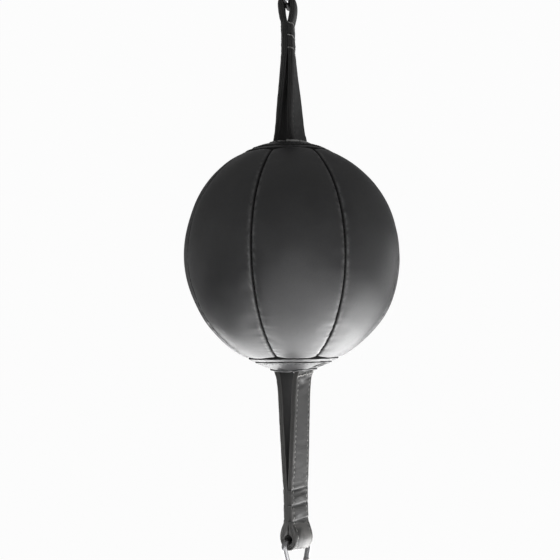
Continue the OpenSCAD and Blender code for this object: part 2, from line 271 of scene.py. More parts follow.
def sheet(outer: Array, inner: Array) -> Skin:
    """Closed skin of a sheet with those two faces, both rows x columns x 3."""
    return loft(np.concatenate([outer, inner[:, ::-1]], axis=1), Ends.PAIRED)


def thickened(outer: Array, inner: Array, triangles: Array) -> Skin:
    """Closed solid between two copies of an open sheet.

    Args:
        outer: Points of the outer face.
        inner: The same points on the inner face.
        triangles: Faces of the sheet.

    Returns:
        The skin.
    """
    sides = np.concatenate([triangles[:, [0, 1]], triangles[:, [1, 2]], triangles[:, [2, 0]]])
    known = {(int(a), int(b)) for a, b in sides}
    rim = np.array([s for s in sorted(known) if (s[1], s[0]) not in known])
    wall = np.stack([rim[:, 1], rim[:, 0], rim[:, 0] + len(outer), rim[:, 1] + len(outer)], -1)
    faces = [triangles, triangles[:, ::-1] + len(outer), wall]
    return np.concatenate([outer, inner]), faces


class Solid:
    """Gathers the closed skins of one piece and makes its object."""

    SHARP = math.radians(52)

    def __init__(self, name: str) -> None:
        """Starts an empty piece.

        Args:
            name: The piece's name.
        """
        self.name = name
        self._points: list[Array] = []
        self._faces: list[Array] = []
        self._marks: list[dict[str, Array]] = []
        self._count = 0

    def add(self, skin: Skin, **marks: Array) -> Solid:
        """Adds one closed skin, turned so that its faces look outwards.

        Args:
            skin: Its points and arrays of faces.
            **marks: Numbers or vectors at the points, for the material.

        Returns:
            The same gatherer.
        """
        points, faces = skin
        flip = volume(points - points.mean(axis=0), faces) < 0
        self._faces += [(f[:, ::-1] if flip else f) + self._count for f in faces]
        self._points.append(points)
        self._marks.append({"rest": points, **marks})
        self._count += len(points)
        return self

    def make(self, finish: Material) -> Piece:
        """Makes the object, smooth but for its sharp edges.

        Args:
            finish: Its material.

        Returns:
            The object.
        """
        mesh = bpy.data.meshes.new(self.name)
        points = np.concatenate(self._points)
        mesh.vertices.add(len(points))
        mesh.vertices.foreach_set("co", points.astype(np.float32).ravel())
        sizes = np.concatenate([np.full(len(f), f.shape[1]) for f in self._faces])
        mesh.loops.add(int(sizes.sum()))
        corners = np.concatenate([f.ravel() for f in self._faces])
        mesh.loops.foreach_set("vertex_index", corners.astype(np.int32))
        mesh.polygons.add(len(sizes))
        starts = np.concatenate([[0], np.cumsum(sizes)[:-1]])
        mesh.polygons.foreach_set("loop_start", starts.astype(np.int32))
        mesh.update(calc_edges=True)
        mesh.polygons.foreach_set("use_smooth", np.ones(len(sizes), bool))
        mesh.set_sharp_from_angle(angle=self.SHARP)
        for name in sorted({n for marks in self._marks for n in marks}):
            self._write_mark(mesh, name)
        mesh.materials.append(finish)
        return linked(self.name, mesh)

    def _write_mark(self, mesh: bpy.types.Mesh, name: str) -> None:
        """Writes one mark as an attribute, 0 where a skin doesn't have it.

        Args:
            mesh: The mesh, with its points in place.
            name: Name of the mark.
        """
        found = next(m[name] for m in self._marks if name in m)
        wide = np.ndim(found) == 2
        blank = (3,) if wide else ()
        pairs = zip(self._marks, self._points)
        values = [marks.get(name, np.zeros((len(p), *blank))) for marks, p in pairs]
        kind, key = ("FLOAT_VECTOR", "vector") if wide else ("FLOAT", "value")
        attribute = mesh.attributes.new(name, kind, "POINT")
        attribute.data.foreach_set(key, np.concatenate(values).astype(np.float32).ravel())


def tube(
    path: Array, out: Array, radius: Array | float, sides: int, joined: bool = False
) -> Array:
    """Rings of a tube along a path.

    Args:
        path: Points along the middle.
        out: Direction at each point that the tube's top faces.
        radius: Radius, the same all along or one for each point.
        sides: Points of a ring.
        joined: Whether the path closes on itself.

    Returns:
        The rings, as points of the path x sides x 3.
    """
    if joined:
        along = unit(np.roll(path, -1, axis=0) - np.roll(path, 1, axis=0))
    else:
        along = unit(np.gradient(path, axis=0))
    side = unit(np.cross(along, out))
    top = np.cross(side, along)
    turn = around(sides)
    reach = np.broadcast_to(radius, len(path))[:, None, None]
    across, up = circle(turn).T[:, None, :, None]
    return path[:, None] + reach * (across * side[:, None] + up * top[:, None])


def stitches(paths: Array, outs: Array, radius: float, sides: int = 7) -> Skin:
    """Short threads, each round and thinner at its ends.

    Args:
        paths: Points of each thread's middle, as threads x points x 3.
        outs: Direction away from the leather at each point.
        radius: Radius of the thread.
        sides: Points round the thread.

    Returns:
        The skin.
    """
    count, steps = paths.shape[:2]
    thick = radius * np.maximum(0.35, np.sin(np.linspace(0, math.pi, steps)) ** 0.35)
    skins = [loft(tube(p, o, thick, sides), Ends.CAPPED) for p, o in zip(paths, outs)]
    size = steps * sides
    faces = [np.concatenate([s[1][k] + i * size for i, s in enumerate(skins)])
             for k in range(len(skins[0][1]))]
    if volume(skins[0][0] - skins[0][0].mean(axis=0), skins[0][1]) < 0:
        faces = [f[:, ::-1] for f in faces]
    return np.concatenate([s[0] for s in skins]), faces


# ---- Finishes ----


class Wire:
    """An output of a material's nodes. Arithmetic on it adds Math nodes."""

    def __init__(self, recipe: Recipe, socket: bpy.types.NodeSocket) -> None:
        """Holds a socket and the recipe that it belongs to."""
        self.recipe = recipe
        self.socket = socket

    def _math(self, operation: str, *values: Wire | float) -> Wire:
        """A Math node on the values, in order."""
        inputs = dict(enumerate(values))
        return self.recipe.node("ShaderNodeMath", {"operation": operation}, inputs)

    def __add__(self, other: Wire | float) -> Wire:
        """This plus the other."""
        return self._math("ADD", self, other)

    __radd__ = __add__

    def __sub__(self, other: Wire | float) -> Wire:
        """This less the other."""
        return self._math("SUBTRACT", self, other)

    def __rsub__(self, other: Wire | float) -> Wire:
        """The other less this."""
        return self._math("SUBTRACT", other, self)

    def __mul__(self, other: Wire | float) -> Wire:
        """This times the other."""
        return self._math("MULTIPLY", self, other)

    __rmul__ = __mul__

    def wave(self) -> Wire:
        """Sine of this."""
        return self._math("SINE", self)

    def size(self) -> Wire:
        """This without its sign."""
        return self._math("ABSOLUTE", self)

    def least(self, other: Wire | float) -> Wire:
        """The lower of the two."""
        return self._math("MINIMUM", self, other)

    def most(self, other: Wire | float) -> Wire:
        """The higher of the two."""
        return self._math("MAXIMUM", self, other)

    def step(self, start: float, end: float) -> Wire:
        """Smooth step from 0 at start to 1 at end."""
        settings = {"interpolation_type": "SMOOTHSTEP"}
        return self.recipe.node("ShaderNodeMapRange", settings, {"Value": self, 1: start, 2: end})


class Store(Enum):
    """What a node tree belongs to, by the name of Blender's list of them."""

    MATERIAL = "materials"
    WORLD = "worlds"


class Recipe:
    """The node tree of one material or world, built by calls."""

    def __init__(self, name: str, store: Store = Store.MATERIAL) -> None:
        """Starts a material or a world with its own shader.

        Args:
            name: Its name.
            store: Which of the two it is.
        """
        self.owner = getattr(bpy.data, store.value).new(name)
        self.owner.use_nodes = True
        self.tree = self.owner.node_tree

    def node(
        self,
        kind: str,
        settings: Mapping[str, object] | None = None,
        inputs: Mapping[int | str, object] | None = None,
        output: int | str = 0,
    ) -> Wire:
        """Adds a node.

        Args:
            kind: The node's type.
            settings: Its own properties, set before its inputs.
            inputs: Values or wires for its sockets, by name or place.
            output: The output that is wanted.

        Returns:
            That output.
        """
        made = self.tree.nodes.new(kind)
        for name, value in (settings or {}).items():
            setattr(made, name, value)
        for key, value in (inputs or {}).items():
            self._put(made.inputs[key], value)
        return Wire(self, made.outputs[output])

    def mark(self, name: str) -> Wire:
        """A number that the mesh carries at its points."""
        return self.node("ShaderNodeAttribute", {"attribute_name": name}, output="Fac")

    def place(self, name: str = "rest") -> Wire:
        """A vector that the mesh carries at its points."""
        return self.node("ShaderNodeAttribute", {"attribute_name": name}, output="Vector")

    def parts(self, vector: Wire) -> list[Wire]:
        """The three numbers of a vector."""
        made = self.node("ShaderNodeSeparateXYZ", inputs={0: vector})
        return [Wire(self, made.socket.node.outputs[k]) for k in range(3)]

    def stretched(self, vector: Wire, factors: Sequence[float]) -> Wire:
        """The vector times one factor for each axis."""
        settings = {"operation": "MULTIPLY"}
        return self.node("ShaderNodeVectorMath", settings, {0: vector, 1: tuple(factors)})

    def noise(self, where: Wire, size: float, detail: float) -> Wire:
        """Soft noise, about 0.5 on average, whose patches have that size."""
        return self.node("ShaderNodeTexNoise", None,
                         {"Vector": where, "Scale": 1 / size, "Detail": detail})

    def cells(self, where: Wire, size: float) -> Wire:
        """Distance from the borders of cells of that size, as a share of it."""
        return self.node("ShaderNodeTexVoronoi", {"feature": "DISTANCE_TO_EDGE"},
                         {"Vector": where, "Scale": 1 / size})

    def warped(self, where: Wire, size: float, by: float) -> Wire:
        """Pushes a place about.

        Args:
            where: The place.
            size: Size of the noise that pushes it.
            by: How far it goes.

        Returns:
            The new place.
        """
        inputs = {"Vector": where, "Scale": 1 / size}
        push = self.node("ShaderNodeTexNoise", None, inputs, "Color")
        moved = self.node("ShaderNodeVectorMath", {"operation": "SCALE"}, {0: push, "Scale": by})
        return self.node("ShaderNodeVectorMath", {"operation": "ADD"}, {0: where, 1: moved})

    def mixed(self, factor: Wire | float, first: Wire | Colour, second: Wire | Colour) -> Wire:
        """Mixes two colours.

        Args:
            factor: 0 for the first, 1 for the second.
            first: The one colour.
            second: The other.

        Returns:
            The colour between them.
        """
        sides = [c if isinstance(c, Wire) else (*c, 1.0) for c in (first, second)]
        inputs = {0: factor, 6: sides[0], 7: sides[1]}
        return self.node("ShaderNodeMix", {"data_type": "RGBA"}, inputs, 2)

    def bump(self, height: Wire, distance: float) -> Wire:
        """Normal of a relief that is the height times the distance."""
        inputs = {"Height": height, "Distance": distance}
        return self.node("ShaderNodeBump", None, inputs, "Normal")

    def ray(self, question: str) -> Wire:
        """1 for rays to which the light path's answer is yes, and 0 for others."""
        return self.node("ShaderNodeLightPath", output=question)

    def shader(self) -> Wire:
        """What the Principled shader puts out."""
        return Wire(self, self.tree.nodes["Principled BSDF"].outputs[0])

    def finish(self, shader: str = "Principled BSDF", **sockets: object) -> bpy.types.ID:
        """Sets or links the sockets of a node that the tree starts with.

        Args:
            shader: Name of the node.
            **sockets: Values or wires for its sockets, named with _ for a space.

        Returns:
            The material or world.
        """
        inputs = self.tree.nodes[shader].inputs
        for name, value in sockets.items():
            self._put(inputs[name.replace("_", " ")], value)
        return self.owner

    def _put(self, socket: bpy.types.NodeSocket, value: object) -> None:
        """Links a wire to a socket, or sets a value on it.

        Args:
            socket: The socket.
            value: The wire or value.
        """
        if isinstance(value, Wire):
            self.tree.links.new(value.socket, socket)
        else:
            socket.default_value = value


@dataclass(frozen=True)
class Leather:
    """Pigmented leather: pebbled grain, slow patches, wear with painted highlights where it is
    marked, and painted shade in its grooves.
    """

    name: str
    worn_and_lit: Colour
    colour: Colour = (0.018, 0.018, 0.019)
    pale: Colour = (0.028, 0.028, 0.029)
    cell: float = 1.15 * MM
    relief: float = 0.05 * MM
    roughness: float = 0.4

    def make(self) -> Material:
        """Makes the material.

        Returns:
            The material.
        """
        r = Recipe(self.name)
        rest = r.place()
        pebbles = r.cells(r.warped(rest, 2.6 * MM, 0.7 * MM), self.cell).step(0.0, 0.22)
        pores = r.noise(rest, 0.34 * MM, 3.0)
        creases = r.cells(r.warped(rest, 9 * MM, 5 * MM), 7.5 * MM).step(0.0, 0.05)
        patches = r.noise(rest, 34 * MM, 4.0)
        fine_patches = r.noise(rest, 5 * MM, 3.0).step(0.3, 0.75)
        # Marked places: real wear, and painted highlights along the lips, rims and piping, in the
        # pale colour.
        wear_and_light_patches = (r.mark("wear") * fine_patches).least(1.0)
        groove = r.mark("groove")
        body = r.mixed(patches.step(0.3, 0.75), self.colour, self.pale)
        hollows = r.mixed((1 - pebbles) * 0.4, body, (0.008, 0.008, 0.009))
        height = pebbles * 0.62 + pores * 0.3 + creases * 0.22
        rough = (self.roughness - 0.03) - pebbles * 0.05 + patches * 0.16 - wear_and_light_patches * 0.06
        face = r.mixed(wear_and_light_patches * 0.8, hollows, self.worn_and_lit)
        return r.finish(
            # Painted shade: the marked grooves are darkened nearly to black; on cut edges this
            # stands also for black edge paint.
            Base_Color=r.mixed(groove * 0.9, face, (0.003, 0.003, 0.003)),
            Roughness=rough + groove * 0.4,
            Normal=r.bump(height, self.relief),
        )


@dataclass(frozen=True)
class StrapLeather:
    """Smooth strap leather, stretched along its length, with a painted edge, and wear with painted
    light where it is marked.
    """

    name: str
    colour: Colour
    pale: Colour
    edge: Colour
    worn_and_lit: Colour
    roughness: float = 0.5

    def make(self) -> Material:
        """Makes the material.

        Returns:
            The material.
        """
        r = Recipe(self.name)
        lay = r.place("lay")
        drawn = r.noise(r.stretched(lay, (0.12, 1.0, 1.0)), 1.1 * MM, 4.0)
        grain = r.cells(r.warped(lay, 2 * MM, 0.5 * MM), 0.9 * MM).step(0.0, 0.25)
        folds = r.noise(r.stretched(lay, (1.0, 0.25, 1.0)), 3.2 * MM, 3.0)
        patches = r.noise(lay, 16 * MM, 4.0)
        edge = r.mark("edge")
        # Marked places: edge wear, and painted light by the creases and on the eye lit from below.
        wear = (r.mark("wear") * patches.step(0.35, 0.7)).least(1.0)
        body = r.mixed(patches.step(0.3, 0.75), self.colour, self.pale)
        face = r.mixed(wear * 0.7, body, self.worn_and_lit)
        height = grain * 0.4 + drawn * 0.5 + folds * 0.5
        return r.finish(
            Base_Color=r.mixed(edge * (0.55 + drawn * 0.5), face, self.edge),
            Roughness=self.roughness + (drawn - 0.5) * 0.2 + edge * 0.06 - wear * 0.05,
            Normal=r.bump(height, 0.06 * MM),
        )


@dataclass(frozen=True)
class Woven:
    """Plain weave of flat yarns, followed by the cloth's own directions."""

    name: str
    colour: Colour
    deep: Colour
    yarn: float = 0.6 * MM
    relief: float = 0.03 * MM

    def make(self) -> Material:
        """Makes the material.

        Returns:
            The material.
        """
        r = Recipe(self.name)
        along, across, _ = r.parts(r.place("lay"))
        pace = math.pi / self.yarn
        warp = (along * pace).wave().size()
        weft = (across * pace).wave().size()
        order = ((along * pace * 0.5).wave() * (across * pace * 0.5).wave()).step(-0.3, 0.3)
        yarns = warp * order + weft * (1 - order)
        fluff = r.noise(r.place(), self.yarn * 0.4, 3.0)
        soil = r.noise(r.place(), self.yarn * 14, 3.0)
        shade = (yarns * 0.75 + fluff * 0.35).least(1.0)
        body = r.mixed(shade, self.deep, self.colour)
        return r.finish(
            Base_Color=r.mixed(soil.step(0.45, 0.8) * 0.3, body, self.deep),
            Roughness=0.92 - yarns * 0.12,
            Normal=r.bump(yarns + fluff * 0.3, self.relief),
        )


@dataclass(frozen=True)
class WaxedThread:
    """Twisted thread with a dull wax on it."""

    name: str
    colour: Colour
    soiled: Colour

    def make(self) -> Material:
        """Makes the material.

        Returns:
            The material.
        """
        r = Recipe(self.name)
        rest = r.place()
        x, y, z = r.parts(rest)
        strands = ((x + y + z * 1.7) * (FULL_TURN / (0.55 * MM))).wave() * 0.5 + 0.5
        fibres = r.noise(rest, 0.16 * MM, 3.0)
        soil = r.noise(rest, 6 * MM, 3.0).step(0.35, 0.7)
        return r.finish(
            Base_Color=r.mixed(soil * 0.7, self.colour, self.soiled),
            Roughness=0.62 + fibres * 0.2,
            Normal=r.bump(strands * 0.7 + fibres * 0.4, 0.07 * MM),
        )


@dataclass(frozen=True)
class Foam:
    """Closed-cell foam with its small open skin cells."""

    name: str
    colour: Colour
    deep: Colour

    def make(self) -> Material:
        """Makes the material.

        Returns:
            The material.
        """
        r = Recipe(self.name)
        rest = r.place()
        cells = r.cells(rest, 0.9 * MM).step(0.0, 0.3)
        tone = r.noise(rest, 18 * MM, 3.0)
        return r.finish(
            Base_Color=r.mixed(cells * (0.55 + tone * 0.5), self.deep, self.colour),
            Roughness=0.95 - cells * 0.1,
            Normal=r.bump(cells, 0.12 * MM),
        )


@dataclass(frozen=True)
class Rubber:
    """Moulded rubber with a dusty bloom."""

    name: str
    colour: Colour
    bloom: Colour
    roughness: float

    def make(self) -> Material:
        """Makes the material.

        Returns:
            The material.
        """
        r = Recipe(self.name)
        where = r.node("ShaderNodeTexCoord", output="Object")
        dust = r.noise(where, 7 * MM, 5.0).step(0.42, 0.72)
        skin = r.noise(where, 0.5 * MM, 3.0)
        return r.finish(
            Base_Color=r.mixed(dust * 0.45, self.colour, self.bloom),
            Roughness=self.roughness + dust * 0.18 + (skin - 0.5) * 0.1,
            Normal=r.bump(skin, 0.05 * MM),
        )


@dataclass(frozen=True)
class PlatedSteel:
    """Bright plated wire, dulled by handling and browned at its weld."""

    name: str
    colour: Colour
    dull: Colour
    burnt: Colour

    def make(self) -> Material:
        """Makes the material.

        Returns:
            The material.
        """
        r = Recipe(self.name)
        rest = r.place()
        haze = r.noise(rest, 8 * MM, 5.0).step(0.4, 0.75)
        drawn = r.noise(r.stretched(r.place("lay"), (0.05, 1.0, 1.0)), 0.5 * MM, 3.0)
        weld = r.mark("weld")
        blotches = r.noise(rest, 1.6 * MM, 4.0)
        plate = r.mixed(haze * 0.35, self.colour, self.dull)
        height = drawn * 0.25 + blotches * weld
        return r.finish(
            Base_Color=r.mixed(weld * blotches.step(0.3, 0.6) * 0.7, plate, self.burnt),
            Roughness=0.16 + haze * 0.12 + drawn * 0.05 + weld * 0.2,
            Normal=r.bump(height, 0.05 * MM),
            Metallic=1.0,
        )


class Finishes:
    """Every finish of the bag, made once."""

    def __init__(self) -> None:
        """Makes the materials."""
        self.ball = Leather("ball_leather", (0.13, 0.13, 0.13)).make()
        # Marked places painted near white: a painted highlight round the upper slots and on their
        # piping, with a little rim wear.
        self.rubbed_and_lit = Leather("rubbed_and_lit_leather", (0.8, 0.8, 0.78)).make()
        self.strap = StrapLeather(
            "strap_leather", (0.012, 0.0117, 0.0114), (0.022, 0.0214, 0.0208),
            (0.055, 0.0534, 0.052), (0.13, 0.127, 0.123),
        ).make()
        # Copies of the strap's finishes for the upper strap, with darker edges, core, lining and
        # marked places: painted shade.
        self.dark_strap = StrapLeather(
            "dark_strap_leather", (0.014, 0.014, 0.014), (0.022, 0.022, 0.022),
            (0.026, 0.025, 0.025), (0.045, 0.044, 0.043),
        ).make()
        self.strap_lining = StrapLeather(
            "strap_lining", (0.009, 0.009, 0.009), (0.016, 0.0155, 0.0155),
            (0.05, 0.0485, 0.047), (0.13, 0.127, 0.123), 0.62,
        ).make()
        self.shaded_lining = StrapLeather(
            "dark_strap_lining", (0.005, 0.005, 0.005), (0.009, 0.009, 0.009),
            (0.012, 0.012, 0.012), (0.02, 0.02, 0.02), 0.75,
        ).make()
        self.core = Woven("strap_core", (0.05, 0.049, 0.047), (0.032, 0.031, 0.03)).make()
        self.shaded_core = Woven(
            "dark_strap_core", (0.02, 0.02, 0.019), (0.014, 0.014, 0.014)
        ).make()
        self.canvas = Woven(
            "canvas", (0.62, 0.57, 0.46), (0.3, 0.26, 0.19), 0.8 * MM, 0.12 * MM
        ).make()
        # The grey thread is a shaded copy of the soft one, for the upper strap: painted shade. The
        # dull thread binds the upper creases pale: a painted highlight.
        self.soft_thread, self.dull_thread, self.grey_thread, self.black_thread = (
            WaxedThread(f"{tone}_thread", colour, soiled).make()
            for tone, colour, soiled in (
                ("soft", (0.27, 0.265, 0.255), (0.13, 0.127, 0.123)),
                ("dull", (0.21, 0.205, 0.2), (0.12, 0.117, 0.114)),
                ("grey", (0.12, 0.118, 0.115), (0.05, 0.049, 0.048)),
                ("black", (0.03, 0.03, 0.031), (0.012, 0.012, 0.012)),
            )
        )
        self.foam = Foam("foam", (0.2, 0.2, 0.22), (0.06, 0.06, 0.07)).make()
        self.bladder = Rubber("bladder_rubber", (0.3, 0.17, 0.09), (0.55, 0.45, 0.35), 0.5).make()
        self.valve = Rubber(
            "valve_rubber", (0.018, 0.018, 0.018), (0.09, 0.09, 0.085), 0.42
        ).make()
        self.steel = PlatedSteel(
            "ring_steel", (0.26, 0.26, 0.267), (0.19, 0.19, 0.195), (0.15, 0.135, 0.12)
        ).make()


# ---- The ball ----


@dataclass(frozen=True)
class Sag:
    """A broad patch of the ball that stands lower than the rest, or higher."""

    direction: float
    angle: float
    depth: float
    reach: float


@dataclass(frozen=True)
class BallShape:
    """The ellipsoid of the ball, placed by its caps, and how its gores share it."""

    half_width: float = 115 * MM
    half_height: float = (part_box("upper_cap")[1].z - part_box("lower_cap")[0].z) / 2
    centre_z: float = (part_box("upper_cap")[1].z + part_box("lower_cap")[0].z) / 2
    turn: float = math.radians(3.7)
    front: float = -math.pi / 2
    narrowing: float = math.radians(1.1)
    panel_end: float = 51 * MM
    scallop: float = 2 * MM
    mean_bend: float = 117 * MM
    sags: tuple[Sag, ...] = (
        Sag(0.0, math.radians(62), 3.2 * MM, 36 * MM),
        Sag(math.pi, math.radians(50), -1.4 * MM, 32 * MM),
        Sag(0.0, math.radians(-26), -1.8 * MM, 32 * MM),
        Sag(math.radians(40), math.radians(12), 0.9 * MM, 45 * MM),
        Sag(math.radians(165), math.radians(-28), 2.1 * MM, 34 * MM),
    )

    @property
    def end_angle(self) -> float:
        """Angle from the equator to a panel's end, at the middle of its scallop."""
        return float(self.angle_at(self.panel_end))

    def section(self, angle: Array, out: Array | float) -> tuple[Array, Array]:
        """Radius and height of the section.

        Args:
            angle: Angle from the equator.
            out: Distance outside the ball's surface.

        Returns:
            The distance from the axis, and the height over the centre.
        """
        across, up = np.cos(angle) / self.half_width, np.sin(angle) / self.half_height
        size = np.hypot(across, up)
        radius = self.half_width * np.cos(angle) + out * across / size
        return radius, self.half_height * np.sin(angle) + out * up / size

    def angle_at(self, radius: Array | float) -> Array:
        """Angle from the equator at which the surface has that radius."""
        return np.arccos(np.clip(np.asarray(radius) / self.half_width, -1, 1))

    def place(self, direction: Array, angle: Array, out: Array | float = 0.0) -> Array:
        """Point on or near the ball.

        Args:
            direction: Direction round the axis.
            angle: Angle from the equator.
            out: Distance outside the ball's surface.

        Returns:
            The point in the frame.
        """
        radius, height = self.section(angle, out - self._sagged(direction, angle))
        x, y = radius * np.cos(direction), radius * np.sin(direction)
        return stacked(x, y, height + self.centre_z)

    def _sagged(self, direction: Array, angle: Array) -> Array:
        """How much lower than a perfect ball the surface stands.

        Args:
            direction: Direction round the axis.
            angle: Angle from the equator.

        Returns:
            The depth, negative where it stands higher.
        """
        total = np.zeros(np.broadcast(direction, angle).shape)
        for sag in self.sags:
            level = np.sin(angle) * math.sin(sag.angle)
            level = level + np.cos(angle) * math.cos(sag.angle) * np.cos(direction - sag.direction)
            away = self.mean_bend * np.arccos(np.clip(level, -1, 1))
            total = total + sag.depth * bell(away, sag.reach)
        return total

    def out_from(self, direction: Array, angle: Array) -> Array:
        """Direction straight out of the ball at that point."""
        return unit(self.place(direction, angle, MM) - self.place(direction, angle))

    def seam(self, gore: int) -> float:
        """Direction of the seam after a gore. The first gore, in front, is narrower."""
        shift = {0: self.narrowing, 1: -self.narrowing}.get(gore % GORES, 0.0)
        return self.front + self.turn + (gore - 0.5) * FULL_TURN / GORES + shift

    def gore_middle(self, gore: int) -> float:
        """Direction of the middle of a gore."""
        return (self.seam(gore - 1) + self.seam(gore)) / 2

    def half_gore(self, gore: int) -> float:
        """Half the angle that a gore spans."""
        return (self.seam(gore) - self.seam(gore - 1)) / 2


@dataclass
class AirPressure:
    """Cloth simulation of the leather, blown up from inside and held at its seams."""

    shape: BallShape
    rows: int = 41
    columns: int = 17
    frames: int = 24
    pressure: float = 5.0
    slack: float = 0.012
    most: float = 4.2 * MM
    drawn_in: float = 1.2 * MM
    uneven: float = 0.25 * MM

    def swell(self) -> Array:
        """Runs the simulation.

        Returns:
            How far each point stands out, as gores x rows x columns.
        """
        start, out = self._skins()
        made = self._cloth(start)
        scene = bpy.context.scene
        for number in range(1, self.frames + 1):
            scene.frame_set(number)
        held = made.evaluated_get(bpy.context.evaluated_depsgraph_get())
        moved = np.zeros(start.size)
        held.data.vertices.foreach_get("co", moved)
        mesh = made.data
        bpy.data.objects.remove(made)
        bpy.data.meshes.remove(mesh)
        scene.frame_set(1)
        stands = np.einsum("grck,grck->grc", moved.reshape(start.shape) - start, out)
        return np.clip(stands, -0.4 * self.most, self.most)

    def _skins(self) -> tuple[Array, Array]:
        """Points of the gores before they are blown up.

        Returns:
            The points, and the direction out of the ball at each.
        """
        s = np.linspace(-1, 1, self.columns)[None, :]
        v = np.linspace(-1, 1, self.rows)[:, None]
        angle = np.broadcast_to(v * self.shape.end_angle, (self.rows, self.columns))
        flat = self.drawn_in * (1 - s**2) * (1 - v**4)
        start, out = [], []
        for gore in range(1, GORES + 1):
            direction = self.shape.gore_middle(gore) + s * self.shape.half_gore(gore) + 0 * v
            uneven = self.uneven * Unevenness(30 * MM, gore)(self.shape.place(direction, angle))
            start.append(self.shape.place(direction, angle, uneven - flat))
            out.append(self.shape.out_from(direction, angle))
        return np.stack(start), np.stack(out)

    def _cloth(self, start: Array) -> Piece:
        """Makes the cloth, pinned round each gore, ready to run.

        Args:
            start: Its points, as gores x rows x columns x 3.

        Returns:
            The cloth.
        """
        mesh = bpy.data.meshes.new("blown_leather")
        rim = np.ones((self.rows, self.columns), bool)
        rim[1:-1, 1:-1] = False
        i, j = np.meshgrid(np.arange(self.rows - 1), np.arange(self.columns - 1), indexing="ij")
        near = i * self.columns + j
        far = near + self.columns
        faces = np.stack([near, near + 1, far + 1, far], -1).reshape(-1, 4)
        faces = np.concatenate([faces + g * rim.size for g in range(GORES)])
        mesh.from_pydata(start.reshape(-1, 3).tolist(), [], faces.tolist())
        made = linked("blown_leather", mesh)
        pins = np.flatnonzero(np.tile(rim.ravel(), GORES))
        made.vertex_groups.new(name="seams").add(pins.tolist(), 1.0, "REPLACE")
        cloth = made.modifiers.new("leather", "CLOTH").settings
        for name, value in (
            ("quality", 6), ("mass", 0.6), ("vertex_group_mass", "seams"),
            ("tension_stiffness", 60), ("compression_stiffness", 60), ("shear_stiffness", 20),
            ("bending_stiffness", 6), ("air_damping", 3), ("use_pressure", True),
            ("uniform_pressure_force", self.pressure), ("shrink_min", -self.slack),
        ):
            setattr(cloth, name, value)
        cloth.effector_weights.gravity = 0
        return made


def looked_up(grid: Array, row: Array, column: Array) -> Array:
    """Smooth value between the points of a grid.

    Args:
        grid: Values, rows x columns.
        row: Place down the rows, from 0 to 1.
        column: Place across the columns, from 0 to 1.

    Returns:
        The value there, by a cubic spline that rounds off the grid's corners.
    """
    def weights(place: Array, count: int) -> tuple[Array, list[Array]]:
        """Share of the four points round a place.

        Args:
            place: Place from 0 to 1.
            count: How many points the grid has that way.

        Returns:
            The first of the four points, and the weight of each.
        """
        at = np.clip(place, 0, 1) * (count - 1)
        base = np.minimum(np.floor(at), count - 2)
        t = at - base
        spline = [(1 - t) ** 3, 3 * t**3 - 6 * t**2 + 4, -3 * t**3 + 3 * t**2 + 3 * t + 1, t**3]
        return base.astype(int) - 1, [w / 6 for w in spline]

    first_row, row_weights = weights(row, grid.shape[0])
    first_column, column_weights = weights(column, grid.shape[1])
    total = np.zeros(np.broadcast(row, column).shape)
    for i, w_row in enumerate(row_weights):
        r = np.clip(first_row + i, 0, grid.shape[0] - 1)
        for j, w_column in enumerate(column_weights):
            c = np.clip(first_column + j, 0, grid.shape[1] - 1)
            total += w_row * w_column * grid[r, c]
    return total


